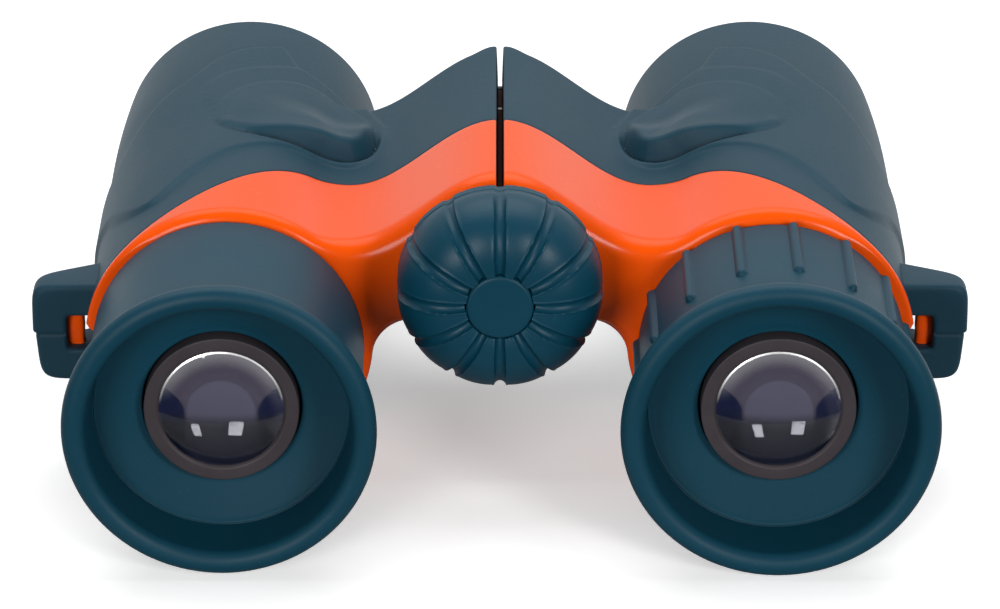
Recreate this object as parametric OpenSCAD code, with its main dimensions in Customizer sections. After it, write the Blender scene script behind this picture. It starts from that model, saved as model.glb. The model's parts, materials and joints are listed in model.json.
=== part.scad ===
// Folding roof-prism binoculars for children, in rubber armour over plastic housings.
// X runs from the left eye to the right eye, Y runs forward to the objectives, Z is up.
// The origin lies on the table under the middle of the part. All sizes are in millimetres.

/* [Overall] */
// Distance between the two eyepiece axes as the halves stand
pupil_distance = 64; // [63:0.5:67]
// Length from the eyecup rims to the barrel fronts
total_length = 90; // [88:0.5:96]
// Height of the hinge axis above the barrel axes
hinge_rise = 10; // [9.5:0.25:10.5]

/* [Barrels] */
// Outer radius of a barrel over its armour
barrel_r = 17; // [16.8:0.1:17.4]
// Outer radius of the front end of a barrel
front_r = 16.2; // [15.8:0.1:16.6]
// Length of the tapered front of a barrel
taper_length = 20; // [12:1:22]
// Thickness of the rubber armour
armour_t = 1.9; // [1.6:0.1:2.1]
// Wall of the housing tube under the armour
housing_wall = 2.3; // [2:0.1:2.6]
// Length of the armour lip in front of the housing
lip_length = 4; // [3:0.25:5]
// Wall of the armour lip round the seat for a push-in cap
lip_wall = 2.6; // [2:0.1:3]
// Radius of the rear edge of the housing
edge_r = 1; // [0.5:0.1:1.4]

/* [Bridge] */
// Height of the ridge above the hinge axis
ridge_over = 11.2; // [10.5:0.1:12]
// Height of the saddle above the barrel axes
saddle_rise = 13.2; // [12.5:0.1:13.6]
// Distance of the saddle from the middle plane
saddle_x = 15.5; // [15:0.1:16]
// Length of the bridge from the rear face of the body
bridge_length = 42.7; // [41:0.1:45]
// Depth of the underside of the bridge below the hinge axis
web_under = 6.8; // [6.7:0.1:7.2]
// Fillet between the underside of the bridge and a barrel
arch_fillet = 5; // [4:0.25:6]
// Half of the angle of the slit above the hinge, in degrees
slit_angle = 2.1; // [2:0.1:4]
// Half of the angle that is left free under the hinge, in degrees
fold_room = 20; // [18:1:24]

/* [Armour] */
// Distance of the armour edge on the bridge from the rear face of the body
edge_on_bridge = 18.6; // [16:0.1:20]
// Distance of the armour edge on the outer sides from the rear face of the body
edge_on_side = 1; // [0.6:0.1:1.6]
// Half of the width of the run of the armour edge over a barrel
edge_run = 14; // [12:0.5:15]
// Rise of the sculpted panel above the armour
panel_rise = 0.5; // [0.3:0.1:0.8]
// Rise of the rear edge of the thumb pad above the armour
pad_rise = 1.5; // [1:0.1:2]
// Width of the thumb pad
pad_w = 19; // [17:0.5:20]
// Length of the thumb pad in front of its step
pad_length = 17; // [14:0.5:18]
// Distance of the pad's step from the rear face of the body
pad_back = 25; // [24:0.5:26]
// Distance of the pad's middle from the barrel axis, towards the bridge
pad_in = 7; // [6:0.25:7.5]
// Bulge of the pad's step towards the eyepieces
pad_bulge = 1.6; // [1:0.1:2]

/* [Hinge] */
// Outer radius of the hinge knuckles
hinge_r = 6.2; // [6:0.1:6.3]
// Radius of the hinge bushes
bush_r = 4.2; // [4:0.05:4.4]
// Length of each hinge ear
ear_length = 6; // [5:0.25:6.5]
// Thickness of the friction washers
washer_t = 0.6; // [0.4:0.1:0.8]
// Radius of the flange of the rear bush
bush_flange_r = 5.6; // [5:0.1:6]
// Thickness of the flange of the rear bush
bush_flange_t = 0.8; // [0.6:0.1:1]
// Thickness of the cap in front of the hinge
hinge_cap_t = 1.5; // [1.2:0.1:1.7]

/* [Eyepieces] */
// Length of an eyepiece behind the body
eyepiece_length = 25; // [24:0.25:27]
// Outer radius of the left eyecup rim
eyecup_r = 18; // [17.6:0.1:18.6]
// Thickness of an eyecup rim
rim_t = 2.8; // [2.4:0.1:3.2]
// Depth of an eyecup from its rim to its floor
cup_depth = 7.4; // [6.5:0.1:8.5]
// Outer radius of the left eyepiece skirt
skirt_r = 16; // [15.8:0.1:16.1]
// Thickness of the rubber skirt
rubber_t = 1.9; // [1.6:0.1:2.2]
// Thickness of the floor of an eyecup
cup_floor_t = 1.3; // [1:0.1:1.6]
// Radius of the hole in the floor of an eyecup
eye_hole_r = 9.3; // [9.1:0.1:9.6]
// Outer radius of an ocular cell
ocular_r = 10; // [9.8:0.1:10.3]
// Radius of the eye lens and the field lens
eye_lens_r = 7.6; // [7.4:0.1:8]
// Clear radius of the eye lens retainer
eye_clear_r = 7.15; // [6.8:0.05:7.3]
// Length of the ocular cell
ocular_length = 21; // [20:0.25:21.5]
// Thickness of the eye lens at its edge
eye_lens_edge = 2.4; // [2:0.1:3]
// Radius of the domed faces of the eye lens
eye_lens_dome = 17; // [14:0.5:20]
// Thickness of the field lens at its edge
field_lens_edge = 1.6; // [1.2:0.1:2]

/* [Diopter] */
// How much larger the right eyecup rim is
diopter_grow = 0.3; // [0.1:0.1:0.5]
// Outer radius of the right, turning skirt
diopter_skirt_r = 15.7; // [15.6:0.1:15.9]
// Number of grip ribs on the right skirt
rib_count = 15; // [12:1:18]
// Radius of a grip rib
rib_r = 0.62; // [0.5:0.02:0.7]
// Length of a grip rib
rib_length = 12.5; // [10:0.5:13]
// Travel of the right eyepiece away from the body
diopter_travel = 2; // [1:0.1:2.4]

/* [Prisms] */
// Length of a prism cage
cage_length = 17.5; // [17:0.25:18]
// Width of the prisms
prism_w = 15; // [14:0.25:15.5]

/* [Objectives] */
// Length of an objective cell
cell_length = 29.2; // [28:0.2:30]
// Radius of an objective lens
objective_r = 10.5; // [10:0.1:10.7]
// Thickness of an objective lens at its edge
objective_edge = 3; // [2.5:0.1:3.5]
// Radius of the domed faces of an objective lens
objective_dome = 44; // [38:1:60]
// Travel of the objective cells either way
focus_travel = 1.5; // [1:0.1:1.6]

/* [Focus] */
// Radius of the focus knob
knob_r = 12; // [11.5:0.1:12.5]
// Radius of the flat disc on the knob
disc_r = 3.95; // [3.6:0.05:4.3]
// Depth of the dome of the knob
dome_depth = 6.1; // [5.6:0.1:6.5]
// Length of the straight rim of the knob
knob_rim = 2.5; // [2:0.1:3]
// Number of grooves in the knob
groove_count = 12; // [8:1:14]
// Radius of the bottom of a knob groove
groove_r = 0.9; // [0.7:0.05:1]
// Depth of a knob groove
groove_depth = 0.65; // [0.4:0.05:0.7]
// Radius of the hub of the knob
hub_r = 6; // [5.6:0.1:6.4]
// Distance of the knob's widest circle from the rear face of the body
knob_stand = 5.7; // [5.4:0.1:6.4]
// Radius of the focus screw
screw_r = 1.6; // [1.4:0.05:1.8]
// Thickness of the focus arms
arm_t = 2.4; // [2:0.1:2.6]

/* [Strap lugs] */
// Reach of a strap lug beyond its barrel
lug_reach = 6.4; // [6:0.1:7]
// Height of a strap lug
lug_h = 12.4; // [11.5:0.1:13.5]
// Height of the middle of a lug above the barrel axis
lug_rise = 0.4; // [0:0.1:0.8]
// Length of a lug along the barrel at its root
lug_root = 7; // [6:0.1:8]
// Length of a lug along the barrel at its tip
lug_tip = 4.4; // [4.2:0.1:5]
// Distance of a lug from the rear face of the body
lug_back = 2.4; // [2:0.1:3]
// Radius of the outer corners of a lug
lug_corner_r = 2; // [1:0.1:2.5]
// Width of the strap slot
slot_w = 3.1; // [2.8:0.1:3.3]
// Height of the strap slot
slot_h = 4.2; // [3.8:0.1:4.6]

/* [Fits] */
// Gap between parts that are fixed to each other
fit_gap = 0.05; // [0.02:0.01:0.08]
// Radial gap of a turning or sliding fit
turn_gap = 0.08; // [0.05:0.01:0.1]
// Gap between parts that move past each other
run_gap = 0.3; // [0.25:0.01:0.35]

/* [Hidden] */
$fn = 64;
lens_facets = 200;

// How far a cut runs past what it cuts
overrun = 1;
// Largest distance that any cut or zone has to reach
reach = total_length + pupil_distance;

// Places of the axes
axis_x = pupil_distance / 2;
axis_z = eyecup_r + diopter_grow;
hinge_z = axis_z + hinge_rise;
arm_span = sqrt(axis_x * axis_x + hinge_rise * hinge_rise);
arm_angle = atan2(hinge_rise, axis_x);

// Stations along Y
y_rear = -total_length / 2;
y_front = total_length / 2;
y_body = y_rear + eyepiece_length;
y_bridge = y_body + bridge_length;
y_bridge_core = y_bridge - armour_t;
y_core_front = y_front - lip_length;
y_taper = y_front - taper_length;

// Radii of a barrel, from the inside out
core_r = barrel_r - armour_t;
bore_r = core_r - housing_wall;

// The front end follows the barrel, and what lies in the bore follows the bore.
// The base values are the barrel and the bore that those sizes were chosen for.
barrel_base = 17;
bore_base = 12.8;
front_share = barrel_r / barrel_base;
fill_share = bore_r / bore_base;
front_end_r = front_r * front_share;
cap_bore_r = front_end_r - lip_wall;
objective_fit_r = objective_r * fill_share;
ocular_fit_r = ocular_r * fill_share;
eye_lens_fit_r = eye_lens_r * fill_share;
eye_clear_fit_r = eye_clear_r * fill_share;
eye_hole_fit_r = eye_hole_r * fill_share;
prism_fit_w = prism_w * fill_share;

// Outline of the bridge
ridge_rise = hinge_rise + ridge_over * front_share;
saddle_z = saddle_rise * front_share;
saddle_run = axis_x - saddle_x;
saddle_fillet = (saddle_run * saddle_run + saddle_z * saddle_z - barrel_r * barrel_r)
    / (2 * (barrel_r - saddle_z));
saddle_turn = atan2(saddle_run, saddle_z + saddle_fillet);
// Centre of the fillet under the bridge, which touches the underside and the barrel
function arch_centre(z) = [axis_x - sqrt(pow(barrel_r + arch_fillet, 2) - z * z), z];
// The underside lies lower where the focus arm inside needs the room
arm_slot_t = arm_t + 2 * run_gap;
arm_skin = 0.3;
arch_free = arch_centre(hinge_rise - web_under - arch_fillet);
arm_room = (hinge_rise * (axis_x - arch_free[0]) - axis_x * arch_free[1]) / arm_span;
arm_need = arch_fillet + armour_t + arm_slot_t / 2 + arm_skin;
arm_drop = max(arm_need - arm_room, 0) * arm_span / axis_x;
arch_rise = hinge_rise - web_under - arm_drop;
arch_z = arch_rise - arch_fillet;
arch_x = arch_centre(arch_z)[0];
arch_turn = atan2(axis_x - arch_x, -arch_z);
ridge_steps = 12;
fillet_steps = 5;
arch_steps = 7;
taper_steps = 6;
edge_steps = 14;

// Hinge stations along Y
washer_room = washer_t + 2 * turn_gap;
rear_ear_end = y_body + ear_length;
front_ear_start = y_bridge_core - ear_length;
tube_start = rear_ear_end + washer_room;
tube_end = front_ear_start - washer_room;
screw_bore_r = screw_r + turn_gap;
bush_depth = 9;

// Focus nut and the eyes of the focus arms, along Y
nut_shift = 1.65;
nut_flange_t = 1.4;
nut_wall = 1.2;
nut_y = (y_body + y_bridge) / 2 + nut_shift;
left_eye_y = nut_y - run_gap / 2 - arm_t;
right_eye_y = nut_y + run_gap / 2;
eyes_end = right_eye_y + arm_t;
nut_start = left_eye_y - run_gap - nut_flange_t;
nut_end = eyes_end + run_gap + nut_flange_t;
nut_neck_r = screw_r + nut_wall;
nut_flange_r = bush_r;
chamber_r = nut_flange_r + run_gap;
chamber_start = nut_start - focus_travel - run_gap;
chamber_end = nut_end + focus_travel + run_gap;

// Prism cages and objective cells along Y
cage_back = 8.5;
cell_ledge = 0.6;
lens_depth = 6.2;
cage_start = y_body + cage_back;
cage_end = cage_start + cage_length;
cell_start = cage_end + focus_travel + run_gap;
cell_end = cell_start + cell_length;
cell_r = bore_r - turn_gap;
cell_bore_r = objective_fit_r - cell_ledge;
lens_seat = cell_end - lens_depth;

// Focus arms: tip along Y, reach from the hinge axis
arm_tip_back = 1.9;
arm_tip_length = 4;
arm_neck = 2;
arm_tip_start = cell_start + arm_tip_back;
arm_tip_end = arm_tip_start + arm_tip_length;
arm_tip_x = arm_span - cell_bore_r - run_gap;
arm_root_x = arm_span - cell_r - run_gap;
arm_neck_x = hinge_r + arm_neck;

// Eyepieces along Y
neck_length = 6.5;
retainer_depth = 1.2;
retainer_t = 1;
ocular_ledge = 0.95;
ocular_ledge_t = 1.8;
rim_r = rim_t / 2;
rim_y = y_rear + rim_r;
rim_steps = 16;
floor_y = y_rear + cup_depth;
tube_rear = floor_y + cup_floor_t + fit_gap;
tube_neck_end = y_body + neck_length;
tube_neck_r = bore_r - turn_gap;
skirt_front = y_body - run_gap;
retainer_rear = floor_y + retainer_depth;
retainer_front = retainer_rear + retainer_t;
cell_rear = retainer_front + fit_gap;
ocular_front = cell_rear + ocular_length;
ocular_bore_r = eye_lens_fit_r + fit_gap;
ocular_stop_r = eye_lens_fit_r - ocular_ledge;
ledge_rear = ocular_front - ocular_ledge_t;
cup_draft = 0.3;
rib_inset = 0.9;
rib_front = skirt_front - rib_inset;
rib_rear = rib_front - rib_length;
// A third of a step turns the ribs as they stand at rest
rib_turn_share = 1 / 3;

// Key that keeps an ocular cell from turning
key_w = 2;
key_t = 1;
key_inset = 0.2;
key_grip = 3.5;
key_r = ocular_fit_r - key_inset;
key_end = cage_start + key_grip;

// Height of the dome of a lens, and the part of it outside a clear radius
function lens_sag(dome, r) = dome - sqrt(dome * dome - r * r);
function rim_step(dome, r, clear) = lens_sag(dome, r) - lens_sag(dome, clear);

// Edges of the lenses along Y
eye_lens_rear = cell_rear + rim_step(eye_lens_dome, eye_lens_fit_r, eye_clear_fit_r);
eye_lens_front = eye_lens_rear + eye_lens_edge;
eye_rim_step = rim_step(eye_lens_dome, eye_lens_fit_r, ocular_stop_r);
field_lens_front = ledge_rear - eye_rim_step - fit_gap;
field_lens_rear = field_lens_front - field_lens_edge;
objective_rear = lens_seat + fit_gap;
objective_front = objective_rear + objective_edge;
objective_rim_step = rim_step(objective_dome, objective_fit_r, cell_bore_r);

// Prisms: tilt of the gap between the two prisms, in degrees
prism_tilt = 22.5;
prism_gap = 0.3;
prism_clear = 0.1;
prism_inset = 0.5;
roof_share = 0.5;
prism_half = prism_fit_w / 2;
prism_rear = cage_start + prism_inset;
prism_front = cage_end - prism_inset;
prism_lean = prism_half * tan(prism_tilt);
prism_middle = (prism_rear + prism_front) / 2;

// Knob along Y
knob_y = y_body - knob_stand;
knob_front = knob_y + knob_rim;
disc_y = knob_y - dome_depth;
hub_front = y_body - bush_flange_t - turn_gap - run_gap;
disc_t = 1.25;
screw_short = 3;
hub_rear = disc_y + disc_t + fit_gap;
knob_screw_head_r = 2.6;
knob_screw_head_t = 1.35;
knob_screw_r = 1;
knob_screw_length = 4.6;
focus_screw_rear = hub_rear + knob_screw_head_t + 2 * fit_gap;
focus_screw_front = y_bridge_core - screw_short;
// Circle of the dome that passes through the widest circle and the edge of the disc
dome_run = knob_r - disc_r;
dome_r = (dome_run * dome_run + dome_depth * dome_depth) / (2 * dome_run);
dome_x = knob_r - dome_r;
dome_turn = atan2(dome_depth, disc_r - dome_x);
dome_steps = 12;
knob_edge_r = 0.5;

// Strap lugs
lug_y = y_body + lug_back;
lug_z = axis_z + lug_rise;
lug_out_x = axis_x + barrel_r + lug_reach;
slot_bite = 0.9;
slot_x = axis_x + barrel_r - slot_bite;
slot_end_x = slot_x + slot_w;
post_show = 1.2;
post_t = 2.4;
lug_arm_t = 2;
lug_core_back = 0.9;
lug_core_t = 2.2;

// Sculpted panel on the armour: shares of the barrel radius inwards from the barrel
// axis, and of the bridge length forwards from the rear face of the body
panel_shares = [
    [1.06, 0.735], [1.00, 0.61], [0.865, 0.522], [0.74, 0.50], [0.59, 0.50],
    [0.44, 0.513], [0.27, 0.49], [0.12, 0.443], [-0.06, 0.384], [-0.235, 0.314],
    [-0.353, 0.26], [-0.47, 0.215], [-0.565, 0.204], [-0.68, 0.237], [-0.79, 0.314],
    [-0.86, 0.466], [-0.85, 0.85], [-0.59, 1.04], [-0.39, 1.10], [-0.22, 1.17],
    [-0.04, 1.234], [0.176, 1.276], [0.27, 1.288], [0.365, 1.17], [0.565, 1.105],
    [0.747, 1.05], [0.876, 0.993], [0.99, 0.876]
];
pad_steps = 28;

// Colours as in the photograph
teal = [0.11, 0.27, 0.33];
teal_rubber = [0.07, 0.24, 0.29];
orange = [1.0, 0.36, 0.10];
black_plastic = [0.10, 0.09, 0.09];
glass = [0.45, 0.46, 0.62, 0.5];
steel = [0.62, 0.63, 0.65];
brass = [0.75, 0.60, 0.28];

// Helpers

// Left pieces are the mirror image of right ones
module on_left() { mirror([1, 0, 0]) children(); }

module on_barrel() { translate([axis_x, 0, axis_z]) children(); }

module on_hinge() { translate([0, 0, hinge_z]) children(); }

// Plane of the focus arm: x runs from the hinge axis to the barrel axis
module on_arm_plane() { on_hinge() rotate([0, arm_angle, 0]) children(); }

module disc(r, y0, y1) { translate([0, y0, 0]) rotate([-90, 0, 0]) cylinder(h = y1 - y0, r = r); }

module ring(r_out, r_in, y0, y1) {
    difference() {
        disc(r_out, y0, y1);
        disc(r_in, y0 - overrun, y1 + overrun);
    }
}

// A profile of [radius, y] points turned about the Y axis
module turned(points) { rotate([-90, 0, 0]) rotate_extrude() polygon(points); }

// An outline of [x, z] points extruded along Y
module along_y(points, y0, y1) {
    translate([0, y1, 0]) rotate([90, 0, 0]) linear_extrude(height = y1 - y0) polygon(points);
}

// An outline of [x, y] points extruded through the whole height of the part
module upright(points, z0, z1) {
    translate([0, 0, z0]) linear_extrude(height = z1 - z0) polygon(points);
}

function arc(cx, cy, r, from, to, steps) =
    [for (i = [0 : steps]) let (a = from + (to - from) * i / steps) [cx + r * cos(a), cy + r * sin(a)]];

// Height and slope of the ridge above the barrel axes
function ridge_z(x) = saddle_z + (ridge_rise - saddle_z) * (1 + cos(180 * x / saddle_x)) / 2;
function ridge_slope(x) = -(ridge_rise - saddle_z) * sin(180 * x / saddle_x) * PI / (2 * saddle_x);

// Outline of half of the bridge in the XZ plane, drawn in by t: ridge, saddle, barrel axis, arch
function bridge_outline(t) = concat(
    [for (i = [0 : ridge_steps])
        let (x = saddle_x * i / ridge_steps, s = ridge_slope(x), n = sqrt(1 + s * s))
        [x + t * s / n, ridge_z(x) - t / n]],
    [for (i = [1 : fillet_steps])
        let (a = saddle_turn * i / fillet_steps, r = saddle_fillet + t)
        [saddle_x + r * sin(a), saddle_z + saddle_fillet - r * cos(a)]],
    [[axis_x, 0]],
    [for (i = [0 : arch_steps])
        let (a = arch_turn * (1 - i / arch_steps))
        [arch_x + (arch_fillet + t) * sin(a), arch_z + (arch_fillet + t) * cos(a)]],
    [[0, arch_rise + t]]
);

// Radius of a barrel along Y: straight, then a parabola down to the front end
function barrel_radius(y) =
    y < y_taper ? barrel_r : barrel_r - (barrel_r - front_end_r) * pow((y - y_taper) / taper_length, 2);

function barrel_profile(t, y1, rear_r) = concat(
    [[0, y_body]],
    arc(barrel_r - t - rear_r, y_body + rear_r, rear_r, -90, 0, fillet_steps),
    [for (i = [0 : taper_steps])
        let (y = y_taper + (y1 - y_taper) * i / taper_steps)
        [barrel_radius(y) - t, y]],
    [[0, y1]]
);

// Right half of the body, drawn in by t: barrel and bridge
module half_form(t, y1, y_end, rear_r) {
    on_barrel() turned(barrel_profile(t, y1, rear_r));
    translate([0, 0, axis_z]) along_y(bridge_outline(t), y_body, y_end);
}

// Y of the armour's rear edge at a distance x from the middle plane
function armour_edge(x) =
    let (share = min(max((x - axis_x + edge_run) / (2 * edge_run), 0), 1))
    y_body + edge_on_bridge + (edge_on_side - edge_on_bridge) * (1 - cos(180 * share)) / 2;

// Everything behind the armour's rear edge, moved forward by shift
module bare_zone(shift) {
    upright(concat(
        [[-reach, y_rear - reach], [-reach, armour_edge(0) + shift]],
        [for (i = [0 : edge_steps])
            let (x = axis_x - edge_run + 2 * edge_run * i / edge_steps) [x, armour_edge(x) + shift]],
        [[reach, armour_edge(reach) + shift], [reach, y_rear - reach]]
    ), -reach, reach);
}

// What is cut away at the middle so that the right half can fold: slit, fold room
module fold_cuts() {
    on_hinge() {
        rotate([0, slit_angle, 0]) translate([-reach, -reach, 0]) cube([reach, 2 * reach, reach]);
        rotate([0, -fold_room, 0]) translate([-reach, -reach, -reach]) cube([reach, 2 * reach, reach]);
    }
}

// Housings

module lug_core(g) {
    x0 = axis_x + bore_r + fit_gap;
    x1 = slot_end_x - post_show + post_t + g;
    half_h = slot_h / 2 + lug_arm_t + g;
    y0 = lug_y + lug_core_back - g;
    translate([x0, y0, lug_z - half_h]) cube([x1 - x0, lug_core_t + 2 * g, 2 * half_h]);
}

module strap_slot(x0, x1) {
    translate([x0, y_body - overrun, lug_z - slot_h / 2])
        cube([x1 - x0, lug_back + lug_root + overrun + run_gap, slot_h]);
}

// Room for the focus arm: a narrow part at the hinge, a long part out to the bore
module arm_pocket() {
    start = left_eye_y - focus_travel - run_gap;
    narrow_end = eyes_end + focus_travel + run_gap;
    long_end = arm_tip_end + focus_travel + run_gap;
    long_x = hinge_r + run_gap;
    bore_x = arm_span - cell_bore_r;
    on_arm_plane() {
        translate([nut_neck_r, start, -arm_slot_t / 2])
            cube([bore_x - nut_neck_r, narrow_end - start, arm_slot_t]);
        translate([long_x, start, -arm_slot_t / 2])
            cube([bore_x - long_x, long_end - start, arm_slot_t]);
    }
}

// Sector of the hinge tube through which the other half's arm swings
module swing_window() {
    half_slot = asin(arm_slot_t / (2 * bush_r));
    from = 180 + arm_angle - 2 * slit_angle - half_slot;
    to = 180 + arm_angle + 2 * fold_room + half_slot;
    on_hinge() along_y(concat([[0, 0]], arc(0, 0, 2 * hinge_r, from, to, fillet_steps)),
        right_eye_y - focus_travel - run_gap, eyes_end + focus_travel + run_gap);
}

module housing_shell() {
    difference() {
        union() {
            half_form(armour_t, y_core_front, y_bridge_core, edge_r);
            intersection() {
                half_form(0, y_core_front, y_bridge_core, edge_r);
                bare_zone(0);
            }
        }
        fold_cuts();
    }
}

module housing_bores() {
    on_barrel() disc(bore_r, y_body - overrun, y_front);
    arm_pocket();
}

module right_housing() {
    color(orange) difference() {
        union() {
            difference() {
                housing_shell();
                on_hinge() disc(hinge_r + run_gap, rear_ear_end, front_ear_start);
            }
            on_hinge() {
                disc(hinge_r, y_body, rear_ear_end);
                disc(hinge_r, front_ear_start, y_bridge_core);
            }
            lug_core(0);
        }
        on_hinge() disc(bush_r + turn_gap, y_body - overrun, y_bridge_core + overrun);
        housing_bores();
        strap_slot(slot_x, slot_end_x - post_show);
    }
}

module left_housing() {
    color(orange) on_left() difference() {
        union() {
            difference() {
                housing_shell();
                on_hinge() {
                    disc(hinge_r + run_gap, y_body - overrun, tube_start);
                    disc(hinge_r + run_gap, tube_end, y_bridge_core + overrun);
                }
            }
            on_hinge() disc(hinge_r, tube_start, tube_end);
            lug_core(0);
        }
        on_hinge() {
            disc(bush_r + fit_gap, tube_start - overrun, tube_end + overrun);
            disc(chamber_r, chamber_start, chamber_end);
        }
        swing_window();
        housing_bores();
        strap_slot(slot_x, slot_end_x - post_show);
    }
}

// Armour

module panel_zone() {
    upright([for (p = panel_shares) [axis_x - p[0] * barrel_r, y_body + p[1] * bridge_length]],
        axis_z, axis_z + reach);
}

module pad_zone() {
    upright([for (i = [0 : pad_steps - 1])
        let (a = 360 * i / pad_steps)
        [axis_x - pad_in + pad_w / 2 * cos(a),
         y_body + pad_back + (a < 180 ? pad_length : pad_bulge) * sin(a)]],
        axis_z, axis_z + reach);
}

// Body raised at the pad's step and flush at its front
module pad_form() {
    tip_y = y_body + pad_back + pad_length;
    translate([0, tip_y, 0]) rotate([-atan2(pad_rise, pad_length), 0, 0]) translate([0, -tip_y, 0])
        half_form(-panel_rise, y_front, y_front, edge_r);
}

module lug_block() {
    half_h = lug_h / 2;
    inner_x = axis_x + bore_r;
    corner_x = lug_out_x - lug_corner_r;
    corner_z = half_h - lug_corner_r;
    intersection() {
        translate([0, 0, lug_z]) along_y(concat(
            [[inner_x, -half_h]],
            arc(corner_x, -corner_z, lug_corner_r, -90, 0, fillet_steps),
            arc(corner_x, corner_z, lug_corner_r, 0, 90, fillet_steps),
            [[inner_x, half_h]]
        ), y_body, y_bridge);
        upright([
            [inner_x, lug_y], [lug_out_x, lug_y],
            [lug_out_x, lug_y + lug_tip], [inner_x, lug_y + lug_root]
        ], 0, axis_z + reach);
    }
}

module armour() {
    color(teal) difference() {
        union() {
            half_form(0, y_front, y_bridge, edge_r);
            intersection() {
                half_form(-panel_rise, y_front, y_bridge, edge_r);
                panel_zone();
            }
            intersection() {
                pad_form();
                pad_zone();
            }
            lug_block();
        }
        half_form(armour_t - fit_gap, y_core_front + fit_gap, y_bridge_core + fit_gap, edge_r);
        on_barrel() disc(cap_bore_r, y_core_front - overrun, y_front + overrun);
        bare_zone(fit_gap);
        fold_cuts();
        on_hinge() disc(hinge_r + run_gap, y_body - overrun, y_bridge + overrun);
        lug_core(fit_gap);
        strap_slot(slot_x, slot_end_x);
    }
}

module right_armour() { armour(); }

module left_armour() { on_left() armour(); }

// Eyecups

// Rubber cup and skirt: rim bead, inner wall, floor, skirt, flare
function eyecup_profile(rim_out, skirt) =
    let (
        bead_x = rim_out - rim_r,
        inner = skirt - rubber_t,
        floor_x = bead_x - rim_r - cup_draft,
        neck_y = floor_y + cup_floor_t
    )
    concat(
        arc(bead_x, rim_y, rim_r, 60, -180, rim_steps),
        [[floor_x, floor_y], [eye_hole_fit_r, floor_y], [eye_hole_fit_r, neck_y], [inner, neck_y],
         [inner, skirt_front], [skirt, skirt_front], [skirt, neck_y]]
    );

module eyecup(rim_out, skirt) { on_barrel() turned(eyecup_profile(rim_out, skirt)); }

module left_eyecup() { color(teal_rubber) on_left() eyecup(eyecup_r, skirt_r); }

module right_eyecup() {
    color(teal_rubber) {
        eyecup(eyecup_r + diopter_grow, diopter_skirt_r);
        on_barrel() for (i = [0 : rib_count - 1]) rotate([0, 360 * (i + rib_turn_share) / rib_count, 0])
            translate([0, 0, diopter_skirt_r]) {
                disc(rib_r, rib_rear, rib_front);
                translate([0, rib_rear, 0]) sphere(r = rib_r);
                translate([0, rib_front, 0]) sphere(r = rib_r);
            }
    }
}

// Eyepiece tubes and ocular cells

module eyepiece_tube(skirt) {
    sleeve_r = skirt - rubber_t - fit_gap;
    color(black_plastic) on_barrel() difference() {
        union() {
            disc(sleeve_r, tube_rear, skirt_front);
            disc(min(sleeve_r, tube_neck_r), tube_rear, tube_neck_end);
            disc(tube_neck_r, y_body, tube_neck_end);
        }
        disc(ocular_fit_r + turn_gap, tube_rear - overrun, tube_neck_end + overrun);
    }
}

module left_eyepiece_tube() { on_left() eyepiece_tube(skirt_r); }

module right_diopter_tube() { eyepiece_tube(diopter_skirt_r); }

// Lens with two domed faces: its edge runs from y0 to y1
module lens(r, dome, y0, y1) {
    middle = sqrt(dome * dome - r * r);
    color(glass) intersection() {
        disc(r, y0 - dome, y1 + dome);
        translate([0, y0 + middle, 0]) sphere(r = dome, $fn = lens_facets);
        translate([0, y1 - middle, 0]) sphere(r = dome, $fn = lens_facets);
    }
}

module ocular_cell() {
    color(black_plastic) on_barrel() {
        difference() {
            disc(ocular_fit_r, cell_rear, ocular_front);
            disc(ocular_bore_r, cell_rear - overrun, ledge_rear);
            disc(ocular_stop_r, cell_rear, ocular_front + overrun);
        }
        translate([-key_w / 2, ocular_front - key_t, key_r - key_t])
            cube([key_w, key_end - ocular_front + key_t, key_t]);
    }
}

module eye_lens() { on_barrel() lens(eye_lens_fit_r, eye_lens_dome, eye_lens_rear, eye_lens_front); }

module field_lens() { on_barrel() lens(eye_lens_fit_r, eye_lens_dome, field_lens_rear, field_lens_front); }

module lens_spacer() {
    color(black_plastic) on_barrel() ring(eye_lens_fit_r, ocular_stop_r,
        eye_lens_front + eye_rim_step + fit_gap, field_lens_rear - eye_rim_step - fit_gap);
}

module eye_retainer() {
    color(black_plastic) on_barrel()
        ring(eye_hole_fit_r - turn_gap, eye_clear_fit_r, retainer_rear, retainer_front);
}

module left_ocular_cell() { on_left() ocular_cell(); }
module right_ocular_cell() { ocular_cell(); }
module left_eye_lens() { on_left() eye_lens(); }
module right_eye_lens() { eye_lens(); }
module left_field_lens() { on_left() field_lens(); }
module right_field_lens() { field_lens(); }
module left_lens_spacer() { on_left() lens_spacer(); }
module right_lens_spacer() { lens_spacer(); }
module left_eye_retainer() { on_left() eye_retainer(); }
module right_eye_retainer() { eye_retainer(); }

// Prisms

module prism_cage() {
    hole = prism_fit_w + 2 * prism_clear;
    color(black_plastic) on_barrel() difference() {
        disc(bore_r - fit_gap, cage_start, cage_end);
        translate([-hole / 2, cage_start - overrun, -hole / 2]) cube([hole, cage_length + 2 * overrun, hole]);
        translate([-key_w / 2 - run_gap, cage_start - overrun, key_r - key_t - run_gap])
            cube([key_w + 2 * run_gap, key_grip + run_gap + overrun, key_t + 2 * run_gap]);
    }
}

// Outlines of [y, z] points extruded along X
module across_x(points, w) {
    rotate([90, 0, 90]) translate([0, 0, -w / 2]) linear_extrude(height = w) polygon(points);
}

module front_prism() {
    color(glass) on_barrel() across_x([
        [prism_front, -prism_half], [prism_front, prism_half],
        [prism_middle + prism_gap / 2 + prism_lean, prism_half],
        [prism_middle + prism_gap / 2 - prism_lean, -prism_half]
    ], prism_fit_w);
}

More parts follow.
